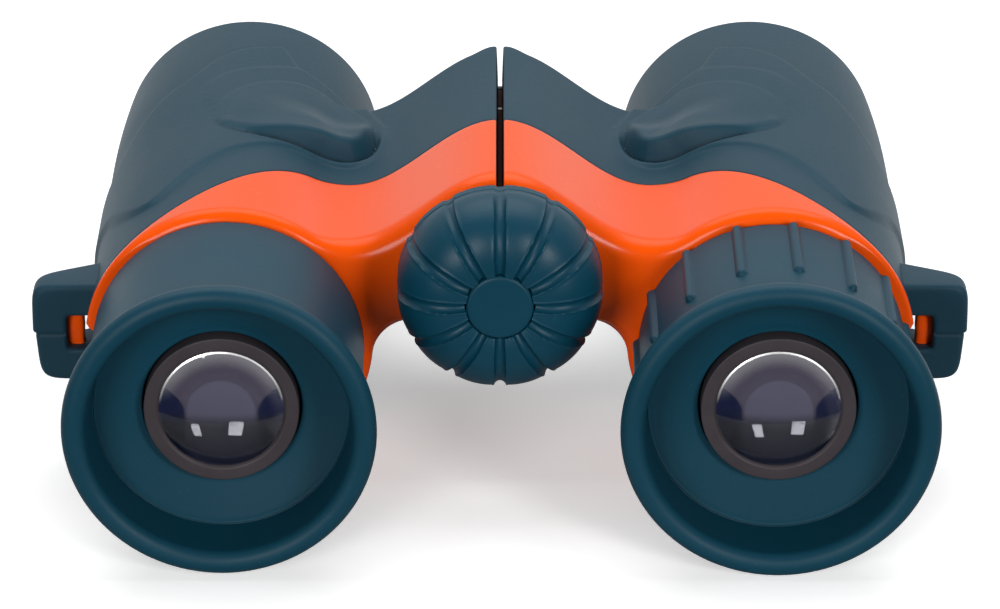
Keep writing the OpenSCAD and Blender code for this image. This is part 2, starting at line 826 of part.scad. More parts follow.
// The rear prism has a roof of two faces at a right angle on top
module roof_prism() {
    roof = prism_half * roof_share;
    color(glass) on_barrel() intersection() {
        across_x([
            [prism_rear, -prism_half], [prism_middle - prism_gap / 2 - prism_lean, -prism_half],
            [prism_middle - prism_gap / 2 + prism_lean, prism_half], [prism_rear, prism_half]
        ], prism_fit_w);
        along_y([
            [-prism_half, -prism_half], [prism_half, -prism_half],
            [prism_half, prism_half - roof], [prism_half - roof, prism_half],
            [roof - prism_half, prism_half], [-prism_half, prism_half - roof]
        ], prism_rear - overrun, prism_front + overrun);
    }
}

module left_prism_cage() { on_left() prism_cage(); }
module right_prism_cage() { prism_cage(); }
module left_front_prism() { on_left() front_prism(); }
module right_front_prism() { front_prism(); }
module left_roof_prism() { on_left() roof_prism(); }
module right_roof_prism() { roof_prism(); }

// Objective cells and focus arms

module arm_blade(g) {
    on_arm_plane() translate([0, 0, -arm_t / 2 - g]) linear_extrude(height = arm_t + 2 * g) children();
}

module objective_cell() {
    color(black_plastic) difference() {
        on_barrel() difference() {
            disc(cell_r, cell_start, cell_end);
            disc(cell_bore_r, cell_start - overrun, cell_end + overrun);
            disc(objective_fit_r + fit_gap, lens_seat, cell_end + overrun);
        }
        arm_blade(fit_gap) translate([0, arm_tip_start - fit_gap])
            square([arm_span, arm_tip_end - arm_tip_start + 2 * fit_gap]);
    }
}

module objective_lens() {
    on_barrel() intersection() {
        lens(objective_fit_r, objective_dome, objective_rear, objective_front);
        disc(objective_fit_r, objective_rear, cell_end);
    }
}

module objective_retainer() {
    color(black_plastic) on_barrel() ring(objective_fit_r, cell_bore_r,
        objective_front + objective_rim_step + fit_gap, cell_end);
}

// Eye round the focus nut, blade out to the objective cell
module focus_arm(eye_y) {
    color(brass) difference() {
        union() {
            on_hinge() disc(nut_flange_r, eye_y, eye_y + arm_t);
            arm_blade(0) polygon([
                [0, eye_y], [arm_neck_x, eye_y], [arm_root_x, arm_tip_start], [arm_tip_x, arm_tip_start],
                [arm_tip_x, arm_tip_end], [arm_root_x, arm_tip_end], [arm_neck_x, eye_y + arm_t],
                [0, eye_y + arm_t]
            ]);
        }
        on_hinge() disc(nut_neck_r + turn_gap, eye_y - overrun, eye_y + arm_t + overrun);
    }
}

module left_objective_cell() { on_left() objective_cell(); }
module right_objective_cell() { objective_cell(); }
module left_objective_lens() { on_left() objective_lens(); }
module right_objective_lens() { objective_lens(); }
module left_objective_retainer() { on_left() objective_retainer(); }
module right_objective_retainer() { objective_retainer(); }
module left_focus_arm() { on_left() focus_arm(left_eye_y); }
module right_focus_arm() { focus_arm(right_eye_y); }

// Hinge

module hinge_rear_bush() {
    color(steel) on_hinge() difference() {
        union() {
            disc(bush_r, y_body - turn_gap - bush_flange_t, tube_start + bush_depth);
            disc(bush_flange_r, y_body - turn_gap - bush_flange_t, y_body - turn_gap);
        }
        disc(screw_bore_r, y_rear, y_front);
    }
}

module hinge_front_bush() {
    color(steel) on_hinge() ring(bush_r, screw_bore_r, chamber_end + fit_gap, y_bridge_core);
}

module friction_washers() {
    color(steel) on_hinge() for (y = [rear_ear_end + turn_gap, tube_end + turn_gap])
        ring(hinge_r, bush_r + turn_gap, y, y + washer_t);
}

module hinge_cap() {
    color(teal) on_hinge() {
        disc(hinge_r, y_bridge_core + turn_gap, y_bridge_core + turn_gap + hinge_cap_t);
        disc(screw_r, focus_screw_front + run_gap, y_bridge_core + turn_gap + fit_gap);
    }
}

// Focus drive

module focus_screw() {
    color(steel) on_hinge() difference() {
        disc(screw_r, focus_screw_rear, focus_screw_front);
        disc(knob_screw_r + fit_gap, focus_screw_rear - overrun, focus_screw_rear + knob_screw_length);
    }
}

module focus_nut() {
    color(brass) on_hinge() difference() {
        union() {
            disc(nut_neck_r, nut_start, nut_end);
            disc(nut_flange_r, nut_start, nut_start + nut_flange_t);
            disc(nut_flange_r, nut_end - nut_flange_t, nut_end);
        }
        disc(screw_bore_r, nut_start - overrun, nut_end + overrun);
    }
}

module knob_core() {
    color(black_plastic) on_hinge() difference() {
        disc(hub_r, hub_rear, hub_front);
        disc(screw_r + fit_gap, focus_screw_rear - fit_gap, hub_front + overrun);
        disc(knob_screw_r + fit_gap, hub_rear, focus_screw_rear);
        disc(knob_screw_head_r + fit_gap, hub_rear - overrun, focus_screw_rear - fit_gap);
    }
}

// Dome, rim and rounded front edge, with the pockets for the cap and the hub
knob_profile = concat(
    [[disc_r, hub_rear - fit_gap]],
    [for (p = arc(dome_x, 0, dome_r, dome_turn, 0, dome_steps)) [p[0], knob_y - p[1]]],
    arc(knob_r - knob_edge_r, knob_front - knob_edge_r, knob_edge_r, 0, 90, fillet_steps),
    [[hub_r + fit_gap, knob_front], [hub_r + fit_gap, hub_rear - fit_gap]]
);

// One groove down the dome and along the rim
module knob_groove() {
    path_r = dome_r + groove_r - groove_depth;
    translate([dome_x, knob_y, 0]) rotate([0, 0, -90]) rotate_extrude(angle = dome_turn)
        translate([path_r, 0]) circle(r = groove_r);
    translate([dome_x + path_r, 0, 0]) disc(groove_r, knob_y - fit_gap, knob_front + overrun);
}

module knob_grip() {
    color(teal_rubber) on_hinge() difference() {
        turned(knob_profile);
        for (i = [0 : groove_count - 1]) rotate([0, 360 * i / groove_count - 90, 0]) knob_groove();
    }
}

module knob_cap() { color(teal_rubber) on_hinge() disc(disc_r - fit_gap, disc_y, disc_y + disc_t); }

module knob_screw() {
    color(steel) on_hinge() {
        disc(knob_screw_head_r, hub_rear + fit_gap, hub_rear + knob_screw_head_t);
        disc(knob_screw_r, hub_rear + fit_gap, focus_screw_rear + knob_screw_length - run_gap);
    }
}

left_housing();
left_armour();
left_eyecup();
left_eyepiece_tube();
left_ocular_cell();
left_eye_lens();
left_field_lens();
left_lens_spacer();
left_eye_retainer();
left_prism_cage();
left_front_prism();
left_roof_prism();
left_objective_cell();
left_objective_lens();
left_objective_retainer();
left_focus_arm();
right_housing();
right_armour();
right_eyecup();
right_diopter_tube();
right_ocular_cell();
right_eye_lens();
right_field_lens();
right_lens_spacer();
right_eye_retainer();
right_prism_cage();
right_front_prism();
right_roof_prism();
right_objective_cell();
right_objective_lens();
right_objective_retainer();
right_focus_arm();
hinge_rear_bush();
hinge_front_bush();
friction_washers();
hinge_cap();
focus_screw();
focus_nut();
knob_core();
knob_grip();
knob_cap();
knob_screw();
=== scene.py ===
"""Looks of the folding binoculars: rubber armour, orange shells, eyepieces, focus knob, optics, stage."""
import json
import math

import bmesh
import bpy
import numpy as np
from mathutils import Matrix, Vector
from mathutils.geometry import delaunay_2d_cdt


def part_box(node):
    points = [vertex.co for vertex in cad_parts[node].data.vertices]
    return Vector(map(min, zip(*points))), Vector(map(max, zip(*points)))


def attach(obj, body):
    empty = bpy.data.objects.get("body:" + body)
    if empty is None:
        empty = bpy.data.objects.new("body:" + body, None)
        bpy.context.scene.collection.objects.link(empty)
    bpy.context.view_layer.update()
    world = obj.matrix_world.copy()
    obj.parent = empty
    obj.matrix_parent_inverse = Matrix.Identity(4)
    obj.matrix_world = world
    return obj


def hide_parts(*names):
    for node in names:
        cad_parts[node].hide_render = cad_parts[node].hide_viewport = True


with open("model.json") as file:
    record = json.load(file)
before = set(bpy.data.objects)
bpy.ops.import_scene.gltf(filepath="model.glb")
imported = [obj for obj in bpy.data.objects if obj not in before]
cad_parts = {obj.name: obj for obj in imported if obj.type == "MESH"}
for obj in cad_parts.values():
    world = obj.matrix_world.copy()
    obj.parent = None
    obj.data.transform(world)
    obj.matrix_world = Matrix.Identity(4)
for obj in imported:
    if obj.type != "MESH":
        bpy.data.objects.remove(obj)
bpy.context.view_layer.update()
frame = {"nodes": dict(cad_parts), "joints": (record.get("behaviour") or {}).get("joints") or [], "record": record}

# Sizes in millimetres, in the frame of the CAD model: X right, Y forward, Z up
MM = 0.001


def box_mm(node):
    """Lowest and highest corner of a CAD node."""
    low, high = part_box(node)
    return np.array(low) / MM, np.array(high) / MM


LENS_LOW, LENS_HIGH = box_mm("right_eye_lens")
AXIS_X = (LENS_LOW[0] + LENS_HIGH[0]) / 2
AXIS_Z = (LENS_LOW[2] + LENS_HIGH[2]) / 2
HINGE_Z = next(j["pos_m"][2] for j in frame["joints"] if j["name"] == "interpupillary_hinge") / MM
HINGE_UP = HINGE_Z - AXIS_Z
Y_BODY = box_mm("right_housing")[0][1]
Y_CORE_FRONT = box_mm("right_housing")[1][1]
Y_FRONT = box_mm("right_armour")[1][1]
Y_BRIDGE = Y_BODY + 42.7
Y_BRIDGE_CORE = Y_BRIDGE - 1.9
Y_TAPER = Y_FRONT - 20
BARREL_R, FRONT_R, ARMOUR_T, BORE_R, CAP_BORE_R = 17.0, 16.2, 1.9, 12.8, 13.6
RIDGE, SADDLE_X, SADDLE_Z = HINGE_UP + 11.2, 18.0, 12.7
SLIT, FOLD = math.radians(2.1), math.radians(20)
ARCH_FILLET, ARCH_RISE = 5.0, 2.74
HINGE_R, HINGE_GAP = 6.2, 0.3
SADDLE_RUN = AXIS_X - SADDLE_X
SADDLE_FILLET = (SADDLE_RUN ** 2 + SADDLE_Z ** 2 - BARREL_R ** 2) / (2 * (BARREL_R - SADDLE_Z))
SADDLE_TURN = math.atan2(SADDLE_RUN, SADDLE_Z + SADDLE_FILLET)
ARCH_Z = ARCH_RISE - ARCH_FILLET
ARCH_X = AXIS_X - math.sqrt((BARREL_R + ARCH_FILLET) ** 2 - ARCH_Z ** 2)
ARCH_TURN = math.atan2(AXIS_X - ARCH_X, -ARCH_Z)
BARREL_FROM, BARREL_TO = -SADDLE_TURN, math.pi + ARCH_TURN
HINGE_AXIS, HINGE, BARREL = (0.0, HINGE_Z), np.array([0.0, HINGE_UP]), np.array([AXIS_X, 0])
SLIT_WAY = np.array([math.sin(SLIT), math.cos(SLIT)])
FOLD_WAY = np.array([math.sin(FOLD), -math.cos(FOLD)])
EYE_R, PUPIL_R = 7.15, 4.0


# ---- meshes ----

def smooth(t):
    """Three t squared minus two t cubed, held to 0 and 1 outside."""
    t = np.clip(t, 0, 1)
    return t * t * (3 - 2 * t)


def compass(a):
    """Directions across the barrels at angles a from the top: sin a and cos a."""
    return np.stack([np.sin(a), np.cos(a)], -1)


def quarter(steps):
    """Angles of a quarter turn in even steps."""
    return np.linspace(0, math.pi / 2, steps)


def quads(rows, cols, wrap_rows, wrap_cols):
    """Corner numbers of the quads of a grid, row by row; a wrapped side closes on itself."""
    r = np.arange(rows if wrap_rows else rows - 1)[:, None]
    c = np.arange(cols if wrap_cols else cols - 1)[None, :]
    r2, c2 = (r + 1) % rows, (c + 1) % cols
    return np.stack([r * cols + c, r * cols + c2, r2 * cols + c2, r2 * cols + c], -1).reshape(-1, 4)


class Skin:
    """Grids of points that become one mesh. Each grid is turned so that its faces point outwards."""

    def __init__(self):
        self.points, self.faces, self.count, self.plates = [], [], 0, []

    def add(self, grid, wrap_rows=False, wrap_cols=True, away=None, towards=None, facing=None):
        """Adds a grid. Faces point away from a place, towards it, along a direction or out of the form."""
        rows, cols = grid.shape[:2]
        p = grid.reshape(-1, 3)
        f = quads(rows, cols, wrap_rows, wrap_cols)
        a, b, c, d = (p[f[:, i]] for i in range(4))
        n = np.cross(c - a, d - b)
        middle = (a + b + c + d) / 4
        if facing is not None:
            way = n @ np.array(facing, float)
        elif towards is not None:
            way = np.einsum("ij,ij->i", n, np.array(towards, float) - middle)
        else:
            way = np.einsum("ij,ij->i", n, middle - (p.mean(0) if away is None else np.array(away, float)))
        if way.sum() < 0:
            f = f[:, ::-1]
        self.points.append(p)
        self.faces.append(f + self.count)
        self.count += len(p)
        return self

    def plate(self, outline, facing):
        """Adds a flat face across Y inside an outline, cut into triangles, facing along +Y or -Y."""
        flat = [Vector((x, z)) for x, _, z in outline]
        points, _, faces, *_ = delaunay_2d_cdt(flat, [], [list(range(len(flat)))], 1, 1e-6)
        p = np.array([(q[0], outline[0, 1], q[1]) for q in points])
        f = np.array(faces)
        a, b, c = (p[f[:, i]] for i in range(3))
        back = np.cross(b - a, c - a)[:, 1] * facing < 0
        f[back] = f[back][:, ::-1]
        self.plates.append((p, f))
        return self

    def make(self, name, body, slot, material, node, mirror=False, sharp=38):
        """Joins the grids and plates into an object that rides on a body and takes the place of a CAD node.

        sharp is the angle in degrees above which an edge is shaded as a sharp one.
        """
        f, t = np.concatenate(self.faces), np.empty((0, 3), int)
        for points, triangles in self.plates:
            t = np.concatenate([t, triangles + self.count])
            self.points.append(points)
            self.count += len(points)
        p = np.concatenate(self.points) * MM
        if mirror:
            p = p * np.array([-1.0, 1.0, 1.0])
            f, t = f[:, ::-1], t[:, ::-1]
        corners = np.concatenate([f.ravel(), t.ravel()])
        starts = np.concatenate([np.arange(0, f.size, 4), f.size + np.arange(0, t.size, 3)])
        mesh = bpy.data.meshes.new(name)
        mesh.vertices.add(len(p))
        mesh.vertices.foreach_set("co", p.astype(np.float32).ravel())
        mesh.loops.add(len(corners))
        mesh.loops.foreach_set("vertex_index", corners.astype(np.int32))
        mesh.polygons.add(len(starts))
        mesh.polygons.foreach_set("loop_start", starts.astype(np.int32))
        mesh.update(calc_edges=True)
        mesh.validate()
        bm = bmesh.new()
        bm.from_mesh(mesh)
        bmesh.ops.remove_doubles(bm, verts=bm.verts, dist=2e-6)
        bmesh.ops.dissolve_degenerate(bm, edges=bm.edges, dist=1e-7)
        bm.to_mesh(mesh)
        bm.free()
        mesh.polygons.foreach_set("use_smooth", np.ones(len(mesh.polygons), bool))
        mesh.set_sharp_from_angle(angle=math.radians(sharp))
        mark_edges(mesh)
        obj = bpy.data.objects.new(name, mesh)
        bpy.context.scene.collection.objects.link(obj)
        obj.data.materials.append(material)
        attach(obj, body)
        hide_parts(node)


def mark_edges(mesh):
    """Attribute edge: how far a vertex stands out of its neighbours, in millimetres per millimetre.

    The mean over a vertex's edges of the normal times the unit edge: above zero on convex edges, below
    zero in hollow ones. It is evened out over the neighbours twice.
    """
    def fetched(items, key, width, kind):
        """One value of all vertices, normals or edges, as rows of numbers."""
        out = np.empty(len(items) * width, kind)
        items.foreach_get(key, out)
        return out.reshape(-1, width)

    def gathered(at_first, at_second):
        """Sum over each vertex's edges of what they bring to their first and to their second end."""
        out = np.zeros(len(co))
        np.add.at(out, first, at_first)
        np.add.at(out, second, at_second)
        return out

    co, normal = fetched(mesh.vertices, "co", 3, float), fetched(mesh.vertex_normals, "vector", 3, float)
    first, second = fetched(mesh.edges, "vertices", 2, np.int32).T
    run = co[first] - co[second]
    run /= np.maximum(np.linalg.norm(run, axis=1), 1e-9)[:, None]
    times = gathered(1, 1)
    value = gathered(np.einsum("ij,ij->i", run, normal[first]), -np.einsum("ij,ij->i", run, normal[second]))
    value /= np.maximum(times, 1)
    for _ in range(2):
        value = (value + gathered(value[second], value[first])) / (times + 1)
    mark = mesh.attributes.new("edge", "FLOAT", "POINT")
    mark.data.foreach_set("value", value.astype(np.float32))


def turned(profile, turns=128, at=(AXIS_X, AXIS_Z), shape=None):
    """A profile of radius and Y carried round an axis along Y.

    The point at angle a from the top is the axis plus radius times (sin a, cos a). shape(radius, y, a)
    gives other radii where the form has ribs or grooves.
    """
    a = np.linspace(0, 2 * math.pi, turns, endpoint=False)[None, :]
    r, y = profile[:, :1] + 0 * a, profile[:, 1:] + 0 * a
    if shape:
        r, y = shape(r, y, a)
    return np.stack([at[0] + r * np.sin(a), y, at[1] + r * np.cos(a)], -1)


def rounded(corners, steps):
    """An outline with its corners rounded.

    corners holds rows of radius, y and corner size c. Each corner becomes a quadratic curve between the
    points at distance c on its two sides, with the corner itself as the middle control point.
    """
    c = np.array(corners, float)
    p, size = c[:, :2], c[:, 2:]
    before, after = np.roll(p, 1, 0) - p, np.roll(p, -1, 0) - p
    start = p + size * before / np.linalg.norm(before, axis=1)[:, None]
    end = p + size * after / np.linalg.norm(after, axis=1)[:, None]
    t = np.linspace(0, 1, steps + 1)[None, :, None]
    curve = (1 - t) ** 2 * start[:, None] + 2 * t * (1 - t) * p[:, None] + t ** 2 * end[:, None]
    return curve.reshape(-1, 2)


def densify(outline, step):
    """Points along a closed outline at about the given step, by length along it."""
    p = np.vstack([outline, outline[:1]])
    length = np.concatenate([[0], np.cumsum(np.linalg.norm(np.diff(p, axis=0), axis=1))])
    extra = np.linspace(0, length[-1], max(int(length[-1] / step), 4))
    at = np.unique(np.concatenate([length, extra]).round(6))
    return np.stack([np.interp(at, length, p[:, i]) for i in range(2)], -1)[:-1]


# ---- shader nodes ----

class Sock:
    """A shader value. Operators add Math nodes; node() adds any other node."""

    def __init__(self, tree, socket=None):
        self.tree, self.socket = tree, socket

    def node(self, kind, settings=None, inputs=None, out=0):
        """Adds a node of a kind, sets its settings, then its sockets, and gives one of its outputs."""
        n = self.tree.nodes.new("ShaderNode" + kind)
        for key, value in (settings or {}).items():
            setattr(n, key, value)
        for key, value in (inputs or {}).items():
            if isinstance(value, Sock):
                self.tree.links.new(value.socket, n.inputs[key])
            else:
                n.inputs[key].default_value = value
        return Sock(self.tree, n.outputs[out])

    def math(self, operation, *values):
        """Adds a Math node on any values."""
        return self.node("Math", {"operation": operation}, dict(enumerate(values)))

    def __add__(self, other): return self.math("ADD", self, other)
    def __radd__(self, other): return self.math("ADD", other, self)
    def __sub__(self, other): return self.math("SUBTRACT", self, other)
    def __rsub__(self, other): return self.math("SUBTRACT", other, self)
    def __mul__(self, other): return self.math("MULTIPLY", self, other)
    def __rmul__(self, other): return self.math("MULTIPLY", other, self)
    def __truediv__(self, other): return self.math("DIVIDE", self, other)
    def __pow__(self, other): return self.math("POWER", self, other)
    def __abs__(self): return self.math("ABSOLUTE", self)

    def most(self, other):
        """The larger of two values."""
        return self.math("MAXIMUM", self, other)

    def axis(self, number):
        """One of the three numbers of a vector."""
        return self.node("SeparateXYZ", {}, {0: self}, number)

    def between(self, low, high, to_low=0.0, to_high=1.0):
        """Maps low to high smoothly onto another range."""
        return self.node("MapRange", {"interpolation_type": "SMOOTHSTEP"},
                         {0: self, 1: low, 2: high, 3: to_low, 4: to_high})

    def mix(self, first, second):
        """Mixes two colours, with this value as the share of the second."""
        first, second = (c if isinstance(c, Sock) else (*c, 1.0) for c in (first, second))
        return self.node("Mix", {"data_type": "RGBA"}, {0: self, 6: first, 7: second}, 2)

    def to_output(self, kind):
        """Links this surface to the output of a material or a world."""
        out = self.tree.nodes.new("ShaderNodeOutput" + kind)
        self.tree.links.new(self.socket, out.inputs["Surface"])


class Finish(Sock):
    """A material under construction, with its object coordinates in metres."""

    def __init__(self, name):
        self.material = bpy.data.materials.new(name)
        self.material.use_nodes = True
        super().__init__(self.material.node_tree)
        self.tree.nodes.clear()
        self.place = self.node("TexCoord", out=3)

    def noise(self, scale, detail=3.0, roughness=0.5):
        """A cloudy pattern from 0 to 1, with scale in lumps per metre."""
        return self.node("TexNoise", {}, {"Vector": self.place, "Scale": scale, "Detail": detail,
                                          "Roughness": roughness})

    def edge(self):
        """The attribute edge: above zero on convex edges, below zero in hollow ones."""
        return self.node("Attribute", {"attribute_name": "edge"}, out=2)

    def wear(self, low, high, scale, detail, patch_low, patch_high):
        """Wear on convex edges, in patches."""
        return self.edge().between(low, high) * self.noise(scale, detail).between(patch_low, patch_high)

    def shade(self, colour, roughness, bump, height, **sockets):
        """The surface: colour and roughness as given, bump from 0 to 1 times a height in metres."""
        inputs = {"Base Color": colour, "Roughness": roughness}
        if bump is not None:
            inputs["Normal"] = self.node("Bump", {}, {"Strength": 1.0, "Distance": height, "Height": bump})
        inputs.update({k.replace("_", " "): v for k, v in sockets.items()})
        self.node("BsdfPrincipled", {}, inputs).to_output("Material")
        return self.material


def rubber(name, base, lit, worn, rough, grain_scale, grain_height):
    """Moulded rubber: a fine grain, cloudy colour, pale specks, wear on convex edges, painted shade in hollow ones.
    """
    m = Finish(name)
    cloud = m.noise(55, 4)
    grain = m.noise(grain_scale, 3, 0.6)
    speck = m.noise(2300, 1)
    wear = m.wear(0.05, 0.3, 420, 3, 0.35, 0.7)
    colour = (cloud.between(0.3, 0.75) * 0.55).mix(base, lit)
    colour = (speck.between(0.68, 0.8) * 0.25).mix(colour, worn)
    colour = (wear * 0.5).mix(colour, worn)
    # Painted shade: where the attribute edge is below zero, in hollows and creases, the colour darkens towards a
    # third of the base colour.
    colour = (m.edge().between(-0.02, -0.2) * 0.5).mix(colour, [c * 0.3 for c in base])
    roughness = rough + (cloud - 0.5) * 0.14 + (grain - 0.5) * 0.1 - wear * 0.06
    return m.shade(colour, roughness, grain, grain_height, Specular_IOR_Level=0.22)


def glossy_plastic(name, base, deep, worn, rough, shade_colour):
    """Moulded glossy plastic: a slight orange-peel surface, cloudy colour, fine hairline scuffs on edges.

    Round the hinge axis and in the slit above it, painted shade darkens the plastic to a dark brown and makes it
    rougher.
    """
    m = Finish(name)
    cloud = m.noise(38, 3)
    peel = m.noise(900, 2)
    hair = m.node("TexWave", {"wave_type": "BANDS", "bands_direction": "DIAGONAL"},
                  {"Vector": m.place, "Scale": 700.0, "Distortion": 14.0, "Detail": 2.0}, 1)
    scuff = hair.between(0.93, 0.99) * m.noise(260, 2).between(0.5, 0.75)
    wear = m.wear(0.1, 0.5, 520, 3, 0.4, 0.75)
    colour = (cloud.between(0.25, 0.8) * 0.5).mix(base, deep)
    colour = (wear * 0.35).mix(colour, worn)
    # Painted shade: round the hinge axis and in the slit above it, the colour turns almost wholly to the shade
    # colour.
    x, z = m.place.axis(0), m.place.axis(2)
    up = z - HINGE_Z * MM
    from_hinge = (x * x + up * up) ** 0.5 / MM
    beside = abs(x) / MM - up.most(0.0) * (math.tan(SLIT) / MM)
    round_hinge, in_slit = from_hinge.between(6.9, 6.4), beside.between(0.12, 0.03) * up.between(0.0, 0.003)
    hinge_shade = round_hinge.most(in_slit)
    colour = (hinge_shade * 0.96).mix(colour, shade_colour)
    roughness = rough + (cloud - 0.5) * 0.06 + scuff * 0.1 + wear * 0.08 + hinge_shade * 0.4
    return m.shade(colour, roughness, peel, 0.000004, Specular_IOR_Level=0.17)


def matte_plastic(name, base, worn, rough, shine=0.3):
    """Moulded matte plastic: spark-eroded grain, cloudy colour, wear on convex edges."""
    m = Finish(name)
    grain = m.noise(3200, 3, 0.65)
    cloud = m.noise(160, 3)
    wear = m.wear(0.08, 0.4, 700, 2, 0.4, 0.7)
    colour = (cloud.between(0.3, 0.7) * 0.5 + wear * 0.4).mix(base, worn)
    return m.shade(colour, rough + (grain - 0.5) * 0.16, grain, 0.000006, Specular_IOR_Level=shine)


def turned_metal(name, base, stain, rough):
    """Turned metal: fine rings along the axis, stains and varying polish."""
    m = Finish(name)
    ring = m.node("TexWave", {"wave_type": "BANDS", "bands_direction": "Y"},
                  {"Vector": m.place, "Scale": 1500.0, "Distortion": 0.6}, 1)
    cloud = m.noise(240, 4)
    colour = (cloud.between(0.45, 0.75) * 0.6).mix(base, stain)
    return m.shade(colour, rough + cloud * 0.15 + ring * 0.05, ring, 0.000004, Metallic=1.0)


def coated_glass(name, tint, bloom, dust):
    """Polished glass: a faint violet coating that clouds a little, and specks of dust."""
    m = Finish(name)
    cloud = m.noise(140, 2)
    speck = m.noise(2600, 1).between(0.78, 0.84)
    colour = cloud.between(0.3, 0.7).mix(tint, bloom)
    roughness = 0.004 + speck * dust + cloud * 0.004
    return m.shade(colour, roughness, None, 0.0, Transmission_Weight=1.0, IOR=1.5, Specular_IOR_Level=0.4)


def eye_glass(name, pupil, rim, colours, clear):
    """Eye lens with painted light: a pale pupil of light with a sharp edge, a painted reflection above it, dark blue
    at the sides, a painted white glint along the upper rim.

    The distance from the eyepiece axis comes from the object coordinates of either side. clear is the
    share of bare glass at the top; the share grows towards the bottom.
    """
    m = Finish(name)
    middle, veil, side, low, bevel = colours
    x, z = m.place.axis(0), m.place.axis(2)
    across, up = (abs(x) - AXIS_X * MM) / MM, (z - AXIS_Z * MM) / MM
    r = (across * across + up * up) ** 0.5
    cloud = m.noise(220, 3)
    above = up.most(0.0)
    # Painted light: dark below, a painted reflection (veil) above, dark blue at the sides, and a faint white haze of
    # painted reflection inward of the upper rim.
    lobes = (abs(across) - above * above * 0.3).between(4.0, 4.4)
    ring = lobes.mix(up.between(-3.4, -0.4).mix(low, veil), side)
    ring = (r.between(5.2, rim) * up.between(0.8, 4.5) * 0.24).mix(ring, bevel)
    # Painted light: the pale pupil stands in for light coming through the eyepiece and fades towards its lower part.
    pale = r.between(pupil, pupil - 0.14) * up.between(-3.2, -1.0, 0.25, 1.0)
    colour = (pale * (0.85 + cloud * 0.2)).mix(ring, middle)
    # Painted highlight: a thin white metallic arc along the upper edge, in the colour called bevel, stands in for a
    # glint.
    edge = r.between(rim - 0.2, rim - 0.12) * up.between(0.5, 3.5)
    colour = edge.mix(colour, bevel)
    dust = m.noise(2600, 1).between(0.74, 0.8)
    paint = m.node("BsdfPrincipled", {}, {"Base Color": colour, "Roughness": 0.03 + dust * 0.1 + edge * 0.3,
                                          "Metallic": edge})
    tint = cloud.between(0.3, 0.7).mix((0.93, 0.93, 1.0), (0.9, 0.92, 1.0))
    glass = m.node("BsdfPrincipled", {}, {"Base Color": tint, "Roughness": 0.004 + dust * 0.1,
                                          "Transmission Weight": 1.0, "IOR": 1.55})
    bare = up.between(0.2, -2.0, clear, 0.88) * (1 - edge)
    m.node("MixShader", {}, {0: bare, 1: paint, 2: glass}).to_output("Material")
    return m.material


ARMOUR = rubber("armour_rubber", (0.0075, 0.044, 0.070), (0.0095, 0.050, 0.080), (0.03, 0.085, 0.11), 0.55, 1900,
                0.000018)
CUP_RUBBER = rubber("cup_rubber", (0.002, 0.043, 0.072), (0.003, 0.050, 0.083), (0.003, 0.105, 0.18), 0.5, 2400,
                    0.000012)
KNOB_RUBBER = rubber("knob_rubber", (0.002, 0.044, 0.075), (0.003, 0.051, 0.087), (0.008, 0.10, 0.16), 0.4, 2100,
                     0.000015)
# The last colour of the orange plastic is its painted shade round the hinge and in the slit.
ORANGE = glossy_plastic("orange_plastic", (1.0, 0.098, 0.002), (0.95, 0.085, 0.0015), (1.0, 0.18, 0.03), 0.22,
                        (0.022, 0.004, 0.003))
BLACK = matte_plastic("black_matte", (0.016, 0.013, 0.013), (0.045, 0.038, 0.037), 0.55)
RING_BLACK = matte_plastic("ring_matte", (0.038, 0.031, 0.036), (0.06, 0.05, 0.055), 0.5)
GLASS = coated_glass("coated_glass", (0.80, 0.77, 0.97), (0.72, 0.74, 0.98), 0.06)
# A dark tint on clear glass: painted shade for the inside of the eyepieces.
DARK_SHADED_GLASS = coated_glass("dark_shaded_glass", (0.10, 0.10, 0.17), (0.13, 0.13, 0.22), 0.02)
# Colours of the eye lens's painted light: pupil, reflection above it, sides, lower part, glint.
EYE_PAINTED_LIGHT = ((0.125, 0.122, 0.185), (0.09, 0.08, 0.118), (0.006, 0.011, 0.05), (0.045, 0.05, 0.12),
              (0.95, 0.95, 0.95))
EYE_GLASS = eye_glass("eye_glass", PUPIL_R, EYE_R, EYE_PAINTED_LIGHT, 0.3)
INNER_BLACK = matte_plastic("inner_black", (0.004, 0.004, 0.006), (0.007, 0.007, 0.010), 0.85, 0.04)
STEEL = turned_metal("turned_steel", (0.56, 0.57, 0.59), (0.38, 0.38, 0.4), 0.24)
BRASS = turned_metal("turned_brass", (0.72, 0.53, 0.22), (0.48, 0.33, 0.14), 0.28)
SLOTS = {"orange_shell": ORANGE, "teal_armour": ARMOUR, "teal_rubber": CUP_RUBBER, "black_plastic": BLACK,
         "lens_glass": GLASS, "steel": STEEL, "brass": BRASS}


# ---- body halves ----

def ridge(x):
    """Height and slope of the ridge: a half wave of a cosine from the ridge down to the saddle."""
    z = SADDLE_Z + (RIDGE - SADDLE_Z) * (1 + np.cos(math.pi * x / SADDLE_X)) / 2
    slope = -(RIDGE - SADDLE_Z) * np.sin(math.pi * x / SADDLE_X) * math.pi / (2 * SADDLE_X)
    return z, slope


def bezier(a, b, c, steps):
    """Quadratic curve from a to c with b as the control point."""
    t = np.linspace(0, 1, steps)[:, None]
    return (1 - t) ** 2 * np.array(a) + 2 * t * (1 - t) * np.array(b) + t ** 2 * np.array(c)


PARTS = {"slit": 6, "top_edge": 8, "ridge": 88, "saddle": 44, "barrel": 176, "arch": 30, "under": 50, "low_edge": 8,
         "fold": 6}
ENDS = np.cumsum(list(PARTS.values()))
UPPER, LOWER = ENDS[3], ENDS[4]


